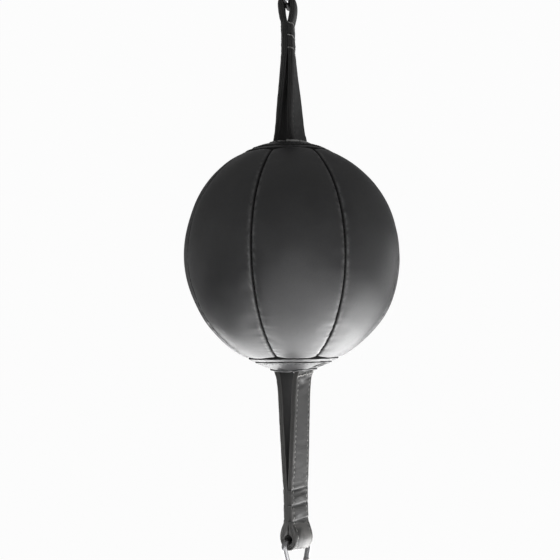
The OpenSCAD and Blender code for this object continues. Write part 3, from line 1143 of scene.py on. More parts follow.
@dataclass
class Gores:
    """The seven gores: leather panels, the foam behind them and their seams."""

    shape: BallShape
    finishes: Finishes
    leather: float = 2 * MM
    dip: float = 2.2 * MM
    lip: float = 1.9 * MM
    turned: float = 1.2 * MM
    allowance: float = 3 * MM
    seam_gap: float = 1.0 * MM
    end_dip: float = 1.2 * MM
    stitch: float = 5 * MM
    pucker: float = 0.3 * MM
    foam: float = 2.3 * MM
    foam_end: float = 62 * MM
    foam_half_angle: float = math.radians(19)
    glue: float = 0.35 * MM
    thread: float = 0.3 * MM
    thread_reach: float = 1 * MM
    thread_stop: float = 0.03
    flap_gap: float = 0.22 * MM
    swell: Array | None = None

    LIP_STEPS = 6
    FACE_STEPS = 44
    ALONG_STEPS = 200
    FOAM_STEPS = (49, 19)

    def build(self) -> list[Piece]:
        """Makes every panel, foam gore and seam thread.

        Returns:
            The pieces.
        """
        made = []
        for gore in range(1, GORES + 1):
            made += [self._panel(gore), self._padding(gore)]
        return [*made, self._seam_threads()]

    def _pillow(self, gore: int, s: Array, v: Array) -> Array:
        """Depth of the leather's face below the ball, apart from its lips.

        Args:
            gore: Number of the gore.
            s: Place across it, from -1 to 1.
            v: Place along it, from -1 to 1.

        Returns:
            The depth.
        """
        broad = self.dip * (0.34 * s**2 + 0.4 * np.abs(s) ** 7) + self.end_dip * v**14
        if self.swell is None:
            return broad
        grid = self.swell[gore - 1]
        short = np.percentile(grid, 97) - looked_up(grid, (v + 1) / 2, (s + 1) / 2)
        return broad * 0.55 + 0.6 * short * (1 - 0.8 * ease(np.abs(v), 0.72, 1.0))

    def _lip_rows(self) -> tuple[Array, Array]:
        """Places of a panel's rows, closer together on the rounded ends.

        Returns:
            The places from -1 to 1, and the distance of each from the nearer end.
        """
        length = 2 * self.shape.end_angle * self.shape.mean_bend
        rounded = self.lip * (1 - np.cos(quarter(self.LIP_STEPS)))
        middle = np.linspace(self.lip, length - self.lip, self.ALONG_STEPS)[1:-1]
        place = np.concatenate([rounded, middle, (length - rounded)[::-1]])
        return 2 * place / length - 1, np.minimum(place, length - place)

    def _side(self, gore: int, under: float) -> tuple[Array, Array, Array]:
        """Points of one face of a panel, from one seam allowance to the other.

        Args:
            gore: Number of the panel.
            under: 0 for the outer face, 1 for the inner one.

        Returns:
            The points, the distance from the seam, and that from the end.
        """
        shape, lip, back = self.shape, self.lip, under * self.turned
        v, to_end = (part[:, None] for part in self._lip_rows())
        hem = self.allowance * ease(to_end, 1 * MM, 14 * MM) + 0.5 * MM
        lip_in, lip_down = lip - (lip - back) * circle(quarter(self.LIP_STEPS)).T
        angle = v * shape.end_angle
        ring, _ = shape.section(angle, -self.dip)
        width = ring * shape.half_gore(gore) - self.seam_gap / 2
        share = np.linspace(-1, 1, self.FACE_STEPS)[None, 1:-1]
        left = np.append([back, back], lip_in)[None] + 0 * v
        face = width - np.abs(share) * (width - lip)
        inside = np.concatenate([left, face, left[:, ::-1]], axis=1)
        ends = np.ones((1, left.shape[1]))
        sign = np.concatenate([-ends, np.sign(share + TINY), ends], axis=1)
        s = sign * (1 - inside / width)
        drop = np.concatenate([hem + lip, hem * 0.5 + lip, lip_down + 0 * v], axis=1)
        base = np.concatenate([drop, back + 0 * face, drop[:, ::-1]], axis=1)
        deeper = under * (self.leather - self.turned) * ease(inside, lip, 7 * MM)
        on_face = np.clip(s, -1, 1)
        depth = self._pillow(gore, on_face, v + 0 * s) + base + deeper + roll(to_end, lip)
        scallop = float(shape.angle_at(shape.panel_end - shape.scallop)) - shape.end_angle
        u = angle + v * scallop * (1 - on_face**2)
        depth = depth + (1 - under) * self._relief(gore, on_face, u, inside)
        radius, _ = shape.section(u, -depth)
        half = shape.half_gore(gore) - self.seam_gap / 2 / radius
        flap = (inside <= TINY) & (base > lip + TINY)
        closed = np.where(flap, self.flap_gap / radius, 0)
        direction = shape.gore_middle(gore) + s * half + sign * closed
        return shape.place(direction, u, -depth), inside, to_end + 0 * inside

    def _relief(self, gore: int, s: Array, u: Array, inside: Array) -> Array:
        """Depth of the leather's small puckers and slow unevenness.

        Args:
            gore: Number of the panel.
            s: Place across it, from -1 to 1.
            u: Angle from the equator.
            inside: Distance from the seam.

        Returns:
            How far the face lies below its smooth shape.
        """
        along = u * self.shape.mean_bend
        at = stacked(s * 52 * MM, along, gore * 0.4)
        pull = 0.6 + 0.4 * Unevenness(26 * MM, 40 + gore)(at)
        lower = 0.25 + 1.4 * ease(-along, 20 * MM, 115 * MM)
        tug = 0.5 + 0.5 * np.cos(FULL_TURN * along / self.stitch)
        puckers = self.pucker * pull * lower * bell(inside - 0.6 * MM, 2.6 * MM) * tug
        folds = stacked(s * 9 * MM, along, gore * 0.3)
        long_puckers = 0.2 * MM * lower * np.exp(-inside / (6 * MM))
        slow = 0.22 * MM * Unevenness(55 * MM, 60 + gore)(at)
        return puckers + long_puckers * Unevenness(6.5 * MM, 80 + gore)(folds) + slow

    def _panel(self, gore: int) -> Piece:
        """Makes one leather panel with its seam allowances turned in.

        Args:
            gore: Number of the panel.

        Returns:
            The panel.
        """
        outer, inside, to_end = self._side(gore, 0.0)
        inner, _, _ = self._side(gore, 1.0)
        near = np.minimum(inside, to_end)
        # Lip wear with a painted highlight beside each seam and end, and painted shade in the
        # groove at the very edge.
        wear = bell(np.maximum(near - 2.2 * MM, 0), 1.5 * MM) * ease(near, 0.6 * MM, 1.8 * MM)
        groove = 1 - ease(near, 0.2 * MM, 1.3 * MM)
        made = Solid(f"panel_leather_{gore}").add(
            sheet(outer, inner), wear=np.append(wear, 0 * wear, axis=1).ravel(),
            groove=np.tile(groove, 2).ravel())
        return dressed(made.make(self.finishes.ball), "ball", "ball_leather", f"panel_{gore}")

    def _padding(self, gore: int) -> Piece:
        """Makes the foam gore that is glued behind a panel.

        Args:
            gore: Number of the panel.

        Returns:
            The foam.
        """
        v, s = (np.linspace(-1, 1, steps) for steps in self.FOAM_STEPS)
        v, s = v[:, None], s[None, :]
        u = v * float(self.shape.angle_at(self.foam_end)) + 0 * s
        direction = self.shape.gore_middle(gore) + s * self.foam_half_angle + 0 * v
        thin = self.foam * (1 - 0.5 * np.abs(s) ** 6) * (1 - 0.5 * v**12)
        top = self.leather + self.glue + self._pillow(gore, s * 0.75, v * 0.8)
        uneven = 0.12 * MM * Unevenness(14 * MM, gore)(self.shape.place(direction, u))
        outer = self.shape.place(direction, u, -(top + (self.foam - thin) / 2 + uneven))
        inner = self.shape.place(direction, u, -(top + (self.foam + thin) / 2))
        made = Solid(f"foam_gore_{gore}").add(sheet(outer, inner)).make(self.finishes.foam)
        return dressed(made, "ball", "foam", f"padding_{gore}")

    def _seam_threads(self) -> Piece:
        """Makes the short threads that cross the bottom of each seam's groove.

        Returns:
            The threads, as one piece.
        """
        solid = Solid("seam_threads")
        end = self.shape.end_angle - self.thread_stop
        count = int(2 * end * self.shape.mean_bend / self.stitch)
        first = math.ceil(-end * self.shape.mean_bend / self.stitch)
        along = (first + np.arange(count))[:, None] * self.stitch
        t = np.linspace(-1, 1, 5)
        dice = np.random.default_rng(5)
        for gore in range(1, GORES + 1):
            slant = dice.uniform(0.5, 0.9, size=(count, 1)) * MM
            u = (along + t * slant) / self.shape.mean_bend
            ring, _ = self.shape.section(u, 0.0)
            direction = self.shape.seam(gore) + t * self.thread_reach / ring
            depth = self._pillow(gore, np.ones_like(u), u / end) + self.lip * (0.86 + 0.3 * t**2)
            paths = self.shape.place(direction, u, -depth)
            solid.add(stitches(paths, self.shape.out_from(direction, u), self.thread, 6))
        return dressed(solid.make(self.finishes.black_thread), "ball", "ball_leather")


def dressed(
    piece: Piece, body: str | tuple[str, str], slot: str, *replaced: str,
    bends: tuple[Vector, Vector] | None = None,
) -> Piece:
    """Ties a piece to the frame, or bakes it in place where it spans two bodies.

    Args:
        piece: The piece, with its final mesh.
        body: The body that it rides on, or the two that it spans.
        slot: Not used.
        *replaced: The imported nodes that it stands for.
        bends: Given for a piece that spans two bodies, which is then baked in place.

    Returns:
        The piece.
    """
    if bends is None:
        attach(piece, body)
    else:
        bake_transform(piece)
    if replaced:
        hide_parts(*replaced)
    log.info("%s: %d faces on %s", piece.name, len(piece.data.polygons), body)
    return piece


# ---- The straps ----


class Pole(Enum):
    """End of the ball that a strap leaves from."""

    UPPER = 1
    LOWER = -1

    @property
    def word(self) -> str:
        """The end's name, as the nodes' names start."""
        return self.name.lower()


@dataclass(frozen=True)
class StrapShape:
    """Line of a loop strap: two legs, three sewn creases and an eye."""

    pole: Pole
    reach: float
    open_length: float
    crease_start: float
    crease_step: float
    turn: float
    eye_turn: float
    taper: float
    power: float
    flare: float
    flare_length: float
    eye_radius: float
    eye_power: float
    ball: BallShape
    width: float = 25 * MM
    ply: float = 2.1 * MM
    wire: float = 6 * MM
    leg_gap: float = 0.1 * MM
    bend_radius: float = 6 * MM
    flex: float = 26 * MM

    SPACING = 1.25 * MM

    @property
    def thickness(self) -> float:
        """Thickness of the three plies together."""
        return 3 * self.ply

    @property
    def creases(self) -> list[float]:
        """Distance of each sewn crease from the pole."""
        return [self.crease_start + i * self.crease_step for i in range(3)]

    @property
    def eye_middle(self) -> float:
        """Distance from the pole to the middle of the eye."""
        return self.reach - (self.eye_radius - self.wire / 2 - 0.3 * MM)

    @property
    def pole_z(self) -> float:
        """Height of the pole that the strap leaves from."""
        return self.ball.centre_z + self.pole.value * self.ball.half_height

    def turn_at(self, d: Array) -> Array:
        """Direction of the strap's width at a distance from the pole."""
        return self.turn + (self.eye_turn - self.turn) * ease(d, 0, self.open_length)

    def half_gap(self, d: Array | float) -> Array:
        """Half the gap between the legs.

        Args:
            d: Distance from the pole.

        Returns:
            Half the distance from the one leg's inner face to the other's.
        """
        d = np.asarray(d, float)
        share = np.clip(d / self.open_length, 0, 1) ** self.power
        spread = self.flare * np.exp(-np.maximum(d, 0) / self.flare_length)
        legs = self.leg_gap / 2 + self.taper * (1 - share) + spread * (d < self.open_length)
        last = self.creases[-1]
        rise = np.sin(np.clip((d - last) / (self.eye_middle - last), 0, 1) * math.pi / 2)
        return np.where(d <= last, legs, self.leg_gap / 2 + self.eye_radius * rise**self.eye_power)

    def outline(self) -> tuple[Array, Array, Array]:
        """The loop's inner face as a closed line, evenly spaced.

        Returns:
            Its places [across the gap, beyond the pole], the outward
            directions there, and the length along the loop.
        """
        leg = np.arange(0, self.eye_middle, 0.4 * MM)
        right = stacked(self.half_gap(leg), leg)
        eye = self.eye_radius * circle(np.linspace(0, math.pi, 60)) + [0, self.eye_middle]
        first, second = self.half_gap(np.array([0, 0.1 * MM]))
        lean = math.atan((first - second) / (0.1 * MM))
        inner = self.bend_radius - self.thickness / 2
        hub = right[0] - inner * circle(lean)
        bend = hub + inner * circle(np.linspace(-math.pi / 2, lean, 24)[:-1])
        crossing = stacked(np.linspace(0, bend[0][0], 14)[:-1], bend[0][1])
        half = np.concatenate([crossing, bend, right])
        return self._smoothed(np.concatenate([half, eye, (half * [-1, 1])[1:][::-1]]))

    def _smoothed(self, line: Array) -> tuple[Array, Array, Array]:
        """Evens the spacing of a closed line and rounds its kinks.

        Args:
            line: The line's places.

        Returns:
            The new places, the outward directions, and the length along the loop.
        """
        for step, reach, soften in ((0.5 * MM, 8, 2.8), (self.SPACING, 1, 0.7)):
            line = spaced(line, step)
            kernel = bell(np.arange(-reach, reach + 1), soften)
            kernel = kernel / kernel.sum()
            wrapped = np.concatenate([line[-reach:], line, line[:reach]])
            line = stacked(*(np.convolve(part, kernel, "valid") for part in wrapped.T))
        along = unit(np.roll(line, -1, axis=0) - np.roll(line, 1, axis=0))
        return line, stacked(along[:, 1], -along[:, 0]), run(line)

    def point(self, n: Array, d: Array, w: Array) -> Array:
        """Point of the strap.

        Args:
            n: Place across the gap between the legs.
            d: Distance beyond the pole.
            w: Place across the strap's width.

        Returns:
            The point in the frame.
        """
        turn = self.turn_at(d)
        x = n * np.sin(turn) + w * np.cos(turn)
        y = -n * np.cos(turn) + w * np.sin(turn)
        return stacked(x, y, self.pole_z + self.pole.value * d)


class Ply(Enum):
    """Layer of a strap, counted outwards from the inside of its loop."""

    LINING = 0
    CORE = 1
    FACE = 2


@dataclass
class Strap:
    """One strap: three plies sewn into a loop, its stitching and its sewn creases."""

    shape: StrapShape
    leather: Material
    core: Material
    lining: Material
    thread_finish: Material
    binding_finish: Material
    tacked: bool
    slant: float
    stitch_inset: float = 3 * MM
    stitch_step: float = 5.4 * MM
    stitch_length: float = 3.3 * MM
    thread: float = 0.42 * MM
    binding: float = 0.4 * MM
    crease_depth: float = 0.75 * MM
    cushion: float = 0.6 * MM
    # Painted light on the eye's underside, which faces the light from below.
    eye_painted_light: float = 1.2
    eye_swell: float = 0.0
    eye_fill: float = 0.0
    # How much lighter the face is from the first crease to the eye.
    lighter_to_eye: float = 0.3
    edge_drop: float = 0.0
    crown: float = 0.3 * MM
    channel_depth: float = 0.24 * MM
    hole_depth: float = 0.16 * MM
    crease_width: float = 1.05 * MM
    crease_stitch_step: float = 3.4 * MM
    crease_stitch_length: float = 2.3 * MM
    crease_stitch_inset: float = 2 * MM
    tack_step: float = 2.3 * MM
    tack_inset: float = 1.5 * MM
    tack_place: float = 2.4 * MM

    FACE_POINTS = 34

    def __post_init__(self) -> None:
        """Works out the loop's line."""
        self.line, self.out, self.length = self.shape.outline()

    def build(self) -> list[Piece]:
        """Makes the plies and the threads.

        Returns:
            The pieces.
        """
        return [
            self._ply(Ply.LINING, self.lining, "strap_leather", "inner_ply"),
            self._ply(Ply.CORE, self.core, "strap_core", "core_ply"),
            self._ply(Ply.FACE, self.leather, "strap_leather", "outer_ply", "base"),
            self._edge_stitching(), self._crease_stitching(), self._binding(),
            *([self._tacks()] if self.tacked else []),
        ]

    def _solid(self, label: str) -> Solid:
        """Starts a piece with that last part of its name."""
        return Solid(f"{self.shape.pole.word}_strap_{label}")

    def _dress(self, solid: Solid, finish: Material, slot: str = "thread", *labels: str) -> Piece:
        """Makes a piece that spans the ball and the strap, baked in place.

        Args:
            solid: Its skins.
            finish: Its material.
            slot: Its material slot.
            *labels: Last parts of the names of the nodes that it stands for.

        Returns:
            The piece.
        """
        word, sign = self.shape.pole.word, self.shape.pole.value
        ends = (1.5 * MM, self.shape.flex)
        start, end = (Vector((0, 0, self.shape.pole_z + sign * d)) for d in ends)
        nodes = [f"{word}_strap_{label}" for label in labels]
        bodies = ("ball", f"{word}_strap")
        return dressed(solid.make(finish), bodies, slot, *nodes, bends=(start, end))

    def _at(self, along: Array) -> tuple[Array, Array]:
        """The inner face at lengths along the loop.

        Args:
            along: The lengths.

        Returns:
            Its places [across the gap, beyond the pole] and outward directions.
        """
        wrapped = np.mod(along, self.length[-1])
        place, out = (
            stacked(*(np.interp(wrapped, self.length, np.append(k, k[0])) for k in line.T))
            for line in (self.line, self.out)
        )
        return place, unit(out)

    def _beyond(self, along: Array) -> Array:
        """The inner face's distance from the pole at lengths along the loop."""
        return self._at(along)[0][..., 1]

    def _face(self, along: Array, w: Array) -> Array:
        """Distance of the outer face from the loop's inner face."""
        return self.shape.thickness + self._relief(along, w)

    def surface(self, along: Array, w: Array, off: Array | float) -> tuple[Array, Array]:
        """Point and outward direction over the loop's inner face.

        Args:
            along: Length along the loop, from the middle under the cap.
            w: Place across the width.
            off: Distance outside the loop's inner face.

        Returns:
            The point and the direction, in the frame.
        """
        place, out = self._at(along)
        n, d = place[..., 0] + off * out[..., 0], place[..., 1] + off * out[..., 1]
        turn = self.shape.turn_at(d)
        across, up = out[..., 0], out[..., 1] * self.shape.pole.value
        direction = stacked(across * np.sin(turn), -across * np.cos(turn), up)
        return self.shape.point(n, d, w), direction

    def _relief(self, along: Array, w: Array) -> Array:
        """How far the outer face stands out at a place of the loop.

        Args:
            along: Length along the loop.
            w: Place across the width.

        Returns:
            The height over the smooth loop.
        """
        half, creases, d = self.shape.width / 2, self.shape.creases, self._beyond(along)
        share = np.abs(w) / half
        slant = self._crease_shift(along, w) + 0.3 * MM * np.sin(w / half * 2.1)
        channel = bell(np.abs(w) - (half - self.stitch_inset), 0.75 * MM)
        holes = 0.5 + 0.5 * np.cos(FULL_TURN * along / self.stitch_step)
        sunk = channel * (self.channel_depth + self.hole_depth * holes)
        total = self.crown * (1 - share**2) - sunk
        for crease in creases:
            total = total - self.crease_depth * bell(d - crease + slant, self.crease_width)
        for start, end in zip(creases, creases[1:]):
            rise = np.sin(np.clip((d - start) / (end - start), 0, 1) * math.pi)
            total = total + self.cushion * rise**0.7 * (1 - share**4)
        total = total + self.eye_swell * bell(d - self.shape.reach + 10 * MM, 9 * MM)
        near = np.minimum(np.abs(d - creases[0]), np.abs(d - creases[2]))
        gather = bell(near - 3 * MM, 5 * MM) + bell(d - 9 * MM, 7 * MM)
        at = stacked(along, w * 0.5, self.shape.reach)
        wrinkles = Unevenness(7 * MM, 21)(at) * (0.04 * MM + 0.2 * MM * gather)
        return total + wrinkles + 0.07 * MM * Unevenness(38 * MM, 22)(at)

    def _crease_shift(self, along: Array | float, w: Array) -> Array:
        """How far a crease has slanted towards the ball.

        Args:
            along: Length along the loop.
            w: Place across the width.

        Returns:
            The distance, which grows by the slant from one edge to the other.
        """
        leg = np.where(np.mod(along, self.length[-1]) < self.length[-1] / 2, 1, -1)
        return self.slant * (1 + leg * w / (self.shape.width / 2)) / 2 + self.edge_drop

    def _profile(self, layer: Ply) -> tuple[Array, Array]:
        """Outline of a ply's section: a flat strip with rounded edges.

        Args:
            layer: Which ply.

        Returns:
            The places across the strap, and the heights over the ply's middle.
        """
        half = self._half_width(layer)
        top = self.shape.ply / 2
        edge = (0.28 if layer is Ply.CORE else 0.36) * self.shape.ply
        face = np.linspace(half - edge, edge - half, self.FACE_POINTS)
        cos, sin = edge * circle(quarter(4)[1:-1]).T
        across = np.concatenate([face, edge - half - sin, [-half, -half], edge - half - sin[::-1]])
        high = np.concatenate([
            np.full(len(face), top), top - edge + cos, [top - edge, edge - top],
            edge - top - cos[::-1],
        ])
        return np.append(across, -across)[None], np.append(high, -high)[None]

    def _half_width(self, layer: Ply) -> float:
        """Half the width of a ply. The core's edges lie a little further in."""
        return self.shape.width / 2 - (0.14 * MM if layer is Ply.CORE else 0)

    def _ply(self, layer: Ply, finish: Material, slot: str, *labels: str) -> Piece:
        """Makes one ply as an unbroken loop.

        Args:
            layer: Which ply.
            finish: Its material.
            slot: Its material slot.
            *labels: Last parts of the names of the nodes that it stands for.

        Returns:
            The piece.
        """
        shape = self.shape
        across, high = self._profile(layer)
        along = self.length[:-1][:, None]
        d = self._beyond(along)
        off = (layer.value + 0.5) * shape.ply + high + 0 * along
        if layer is Ply.FACE:
            # The face rides up from the edge's round to the full relief.
            lift = np.clip(high / shape.ply + 0.5, 0, 1) ** 2
            off = off + lift * self._relief(along, across)
        if layer is Ply.LINING:
            # Rounded inwards a little, so that the lining isn't a flat plate.
            round_in = 0.12 * MM * (1 - (across / self._half_width(layer)) ** 2)
            fill = np.clip(shape.half_gap(d) - 0.5 * MM, 0, self.eye_fill)
            fill = fill * (1 - ease(d, shape.reach - 9 * MM, shape.reach - 4.6 * MM))
            fill = fill * ease(d, shape.creases[2], shape.reach - 12 * MM)
            off = off - (high < 0) * (round_in + fill)
        points, _ = self.surface(along + 0 * across, across + 0 * along, off)
        marks = self._ply_marks(along, across, high, layer)
        solid = self._solid(f"{layer.name.lower()}_ply").add(loft(points, Ends.JOINED), **marks)
        return self._dress(solid, finish, slot, *labels)

    def _ply_marks(self, along: Array, across: Array, high: Array, layer: Ply) -> dict[str, Array]:
        """What a ply's material reads: its own directions, its edge, and its wear with painted
        light.

        Args:
            along: Length along the loop, as a column.
            across: Place across the width, as a row.
            high: Height over the ply's middle, as a row.
            layer: Which ply.

        Returns:
            The marks at every point.
        """
        d = self._beyond(along) + 0 * across
        inside = self._half_width(layer) - np.abs(across) + 0 * d
        first, _, last = self.shape.creases
        # Edge wear, and painted light: highlights beside the creases, the eye lit from below, and
        # the lining inside the eye.
        wear = 0.7 * bell(inside - 0.9 * MM, 0.9 * MM)
        for crease in self.shape.creases:
            wear = wear + 0.2 * bell(np.abs(d - crease) - 1.7 * MM, 0.9 * MM)
        wear = wear + 1.4 * ease(d, last + 0.5 * MM, last + 4 * MM)
        wear = wear + self.eye_painted_light * ease(self._at(along)[1][..., 1], 0.75, 0.95)
        wear = wear + self.lighter_to_eye * ease(d, first, self.shape.reach)
        if layer is Ply.LINING:
            wear = 2.5 * ease(d, last + 4 * MM, self.shape.reach)
        outer = (high > 0 if layer is Ply.FACE else high < 0) * (layer is not Ply.CORE)
        edge = 1 - ease(inside, 0.1 * MM, 0.7 * MM)
        lay = stacked(along, across, high).reshape(-1, 3)
        return {"lay": lay, "edge": edge.ravel(), "wear": (wear * outer).ravel()}

    def _edge_stitching(self) -> Piece:
        """Makes the stitches along both edges.

        Returns:
            The stitches, as one piece.
        """
        solid = self._solid("edge_stitching")
        total = self.length[-1]
        count = int(round(total / self.stitch_step))
        at = (np.arange(count) + 0.5) * total / count
        seen = at[self._beyond(at) > 3 * MM]
        for side in (-1, 1):
            solid.add(self._row(seen, side * (self.shape.width / 2 - self.stitch_inset)))
        return self._dress(solid, self.thread_finish)

    def _row(self, middles: Array, w: float) -> Skin:
        """One row of stitches along the loop's outer face.

        Args:
            middles: Length along the loop of each stitch's middle.
            w: Place across the width.

        Returns:
            The skin.
        """
        dice = np.random.default_rng(int(abs(w) / MM * 10))
        t = np.linspace(-1, 1, 7)[None]
        wobble = dice.uniform(-0.16, 0.16, size=(len(middles), 1)) * MM
        along = middles[:, None] + t * self.stitch_length / 2
        across = w + wobble + t * dice.uniform(-0.2, 0.2, size=(len(middles), 1)) * MM
        off = self._face(along, across) + self.thread * 0.75 * (arch(t) - 1)
        return stitches(*self.surface(along, across, off), self.thread)

    def _crease_stitching(self) -> Piece:
        """Makes the threads that lie in the sewn creases, right across both legs.

        Returns:
            The threads, as one piece.
        """
        solid = self._solid("crease_stitching")
        step = self.crease_stitch_step
        half = self.shape.width / 2 - self.crease_stitch_inset
        t = np.linspace(-1, 1, 5)[None]
        middles = np.arange(-half, half + step / 2, step)[:, None]
        w = middles + t * self.crease_stitch_length / 2
        sunk = self.thread * (0.5 * arch(t) - 0.72)
        for crease, leg in self._crease_legs():
            along = self._along_at(crease, leg)
            along = along - leg * self._crease_shift(along, w)
            points, out = self.surface(along, w, self._face(along, w) + sunk)
            solid.add(stitches(points, out, self.thread * 0.9, 6))
        return self._dress(solid, self.thread_finish)

    def _crease_legs(self) -> list[tuple[float, int]]:
        """Each crease's distance from the pole with each leg, 1 or -1."""
        return [(crease, leg) for crease in self.shape.creases for leg in (1, -1)]

    def _binding(self) -> Piece:
        """Makes the thread that runs over one edge and down each crease of a leg.

        Returns:
            The threads, as one piece.
        """
        solid = self._solid("binding")
        half, beyond = self.shape.width / 2, self.binding * 0.6
        edge = np.linspace(0.3 * MM, self.shape.thickness - 0.9 * MM, 9)
        face = np.linspace(-half + 0.5 * MM, half - 1.2 * MM, 34)
        for crease, leg in self._crease_legs():
            w = leg * np.append(np.full(len(edge), -half - beyond), face)
            along = self._along_at(crease, leg)
            shift = self._crease_shift(along, w)
            shift[:len(edge)] = self.edge_drop * (edge / self.shape.thickness) ** 2
            along = along - leg * shift
            top = self._face(along, w)[len(edge):] + beyond * 0.5
            points, _ = self.surface(along, w, np.append(edge, top))
            out = np.cross(np.gradient(points, axis=0), UP)
            solid.add(loft(tube(points, out, self.binding, 8), Ends.CAPPED))
        return self._dress(solid, self.binding_finish)

    def _along_at(self, d: float, leg: int) -> float:
        """Where a leg is at a distance from the pole.

        Args:
            d: The distance.
            leg: 1 or -1, for the one leg or the other.

        Returns:
            The length along the loop.
        """
        places = self.line[:, 1]
        half = len(places) // 2
        up = np.arange(half)[places[:half] > 0]
        found = float(np.interp(d, places[up], self.length[up]))
        return found if leg == 1 else float(self.length[-1]) - found

    def _tacks(self) -> Piece:
        """Makes the knotted row that tacks each leg down at its slot.

        Returns:
            The knots, as one piece.
        """
        solid = self._solid("tacks")
        dice = np.random.default_rng(11)
        half = self.shape.width / 2 - self.tack_inset
        middles = (np.arange(-half, half, self.tack_step) + 1.2 * MM)[:, None]
        t = np.linspace(-1, 1, 7)[None]
        sway = np.where(np.arange(len(middles)) % 2, 1, -1)[:, None]
        high = self.thread * (1.8 * arch(t) - 0.8)
        for leg in (1, -1):
            lean = dice.uniform(0.3, 1.2, size=middles.shape) * sway
            shift = dice.uniform(-0.8, 0.8, size=middles.shape) * MM
            away = t * lean * 1.7 * MM + shift - 0.18 * leg * middles
            along = self._along_at(self.tack_place, leg) + leg * away
            w = middles + t * dice.uniform(1.1, 2.0, size=middles.shape) * MM
            points, out = self.surface(along, w, self._face(along, w) + high)
            solid.add(stitches(points, out, self.thread * 1.8))
        return self._dress(solid, self.thread_finish)


# ---- The ends of the ball ----


@dataclass
class BallEnd:
    """One end of the ball: ring band, slotted cap, welts and reinforcing disc."""

    ball: BallShape
    strap: StrapShape
    finishes: Finishes
    valve: tuple[float, float] | None
    cap_radius: float = 40.8 * MM
    cap_thickness: float = 2 * MM
    band_inner: float = 41.4 * MM
    band_outer: float = 48.2 * MM
    disc_radius: float = 38.5 * MM
    disc_depth: float = 2.2 * MM
    disc_thickness: float = 1.8 * MM
    slot_in: float = 4.6 * MM
    slot_out: float = 5 * MM
    slot_clear: float = 0.8 * MM
    slot_round: float = 1.6 * MM
    valve_hole: float = 4.5 * MM
    rim_roll: float = 0.45 * MM
    band_low: float = -0.9 * MM
    band_high: float = -0.55 * MM
    # Set for the upper end: a pale painted highlight round the slots and on the piping.
    rubbed_and_lit: bool = False
    welt: float = 1.02 * MM
    drawn: float = 2.6 * MM
    stitch_in: float = 3 * MM
    stitch_step: float = 4.2 * MM
    stitch_length: float = 2.7 * MM
    thread: float = 0.34 * MM
    disc_rim: float = 0.5 * MM
    welt_out: float = 0.95 * MM
    welt_step: float = 0.8 * MM
    welt_pucker: float = 4 * MM
    net_step: float = 1.5 * MM
    slot_step: float = 0.9 * MM
    tuck: float = 2.4 * MM
    flange: float = 5 * MM
    under: float = 2.6 * MM
    low: float = 6.4 * MM

    RIM_POINTS = 200
    HOLE_POINTS = 48
    BAND_POINTS = 260
    BAND_STITCHES = 62
    WELT_SIDES = 14

    def build(self) -> list[Piece]:
        """Makes the pieces of this end.

        Returns:
            The pieces.
        """
        word = self.strap.pole.word
        finish = self.finishes.rubbed_and_lit if self.rubbed_and_lit else self.finishes.ball
        cap = self._disc(f"{word}_cap_leather", self.cap_radius, 0.0, self.cap_thickness,
                         self.rim_roll, finish)
        disc = self._disc(f"{word}_backing_disc", self.disc_radius, self.disc_depth,
                          self.disc_thickness, self.disc_rim, self.finishes.canvas)
        return [
            dressed(cap, "ball", "ball_leather", f"{word}_cap"),
            dressed(disc, "ball", "canvas", f"{word}_reinforcing_disc"),
            self._band(), self._welts(finish), self._cap_stitching(),
        ]

    def _place(self, x: Array, y: Array, out: Array | float) -> Array:
        """Point over this end of the ball.

        Args:
            x: Its place in plan, to the right.
            y: Its place in plan, to the back.
            out: Its distance outside the ball's surface.

        Returns:
            The point in the frame.
        """
        angle = self.strap.pole.value * self.ball.angle_at(np.hypot(x, y))
        pull = np.exp(-np.maximum(self._to_slot(x, y), 0) / (9 * MM))
        pull = pull * ease(self._to_valve(x, y), -2 * MM, 9 * MM)
        return self.ball.place(np.arctan2(y, x), angle, out + self.drawn * pull)

    def _out(self, x: Array, y: Array) -> Array:
        """Direction straight out of this end at a place in plan."""
        return unit(self._place(x, y, 2 * MM) - self._place(x, y, 0.0))

    def _slot_frame(self) -> tuple[Array, Array, float, Array]:
        """How the slots lie in plan.

        Returns:
            The directions across and along them, their offset and half sizes.
        """
        turn = self.strap.turn
        away = np.array([math.sin(turn), -math.cos(turn)])
        leg = float(self.strap.half_gap(0.0)) + self.strap.thickness / 2
        offset = leg + (self.slot_out - self.slot_in) / 2
        half_length = self.strap.width / 2 + self.slot_clear
        half = np.array([(self.slot_in + self.slot_out) / 2, half_length])
        return away, circle(turn), offset, half

    def _to_slot(self, x: Array, y: Array) -> Array:
        """Distance from the nearer slot's edge.

        Args:
            x: Place in plan, to the right.
            y: Place in plan, to the back.

        Returns:
            The distance, negative inside a slot.
        """
        away, wide, offset, half = self._slot_frame()
        n = np.abs(x * away[0] + y * away[1]) - offset
        w = x * wide[0] + y * wide[1]
        beyond = np.stack([np.abs(n), np.abs(w)], -1) - (half - self.slot_round)
        outside = np.linalg.norm(np.maximum(beyond, 0), axis=-1)
        return outside + np.minimum(beyond.max(axis=-1), 0) - self.slot_round

    def _to_valve(self, x: Array, y: Array) -> Array:
        """Distance from the valve hole's edge.

        Args:
            x: Place in plan, to the right.
            y: Place in plan, to the back.

        Returns:
            The distance, far where this end has no valve.
        """
        if self.valve is None:
            return np.full(np.shape(x), 1.0)
        return np.hypot(x - self.valve[0], y - self.valve[1]) - self.valve_hole

    def _slot_line(self, side: int, grow: float, step: float) -> Array:
        """Closed outline of a slot in plan, grown by an amount.

        Args:
            side: 1 or -1, for the slot of one leg or of the other.
            grow: How far outside the slot's edge the line runs.
            step: Distance between its points.

        Returns:
            The points [x, y].
        """
        away, wide, offset, half = self._slot_frame()
        radius = self.slot_round + grow
        core = half - self.slot_round
        turns = quarter(max(3, int(radius * 1.6 / step) + 2))
        corners = [
            core * signs + radius * circle(k * math.pi / 2 + turns)
            for k, signs in enumerate(((1, 1), (-1, 1), (-1, -1), (1, -1)))
        ]
        n, w = spaced(np.concatenate(corners), step).T
        return (n + side * offset)[:, None] * away + w[:, None] * wide

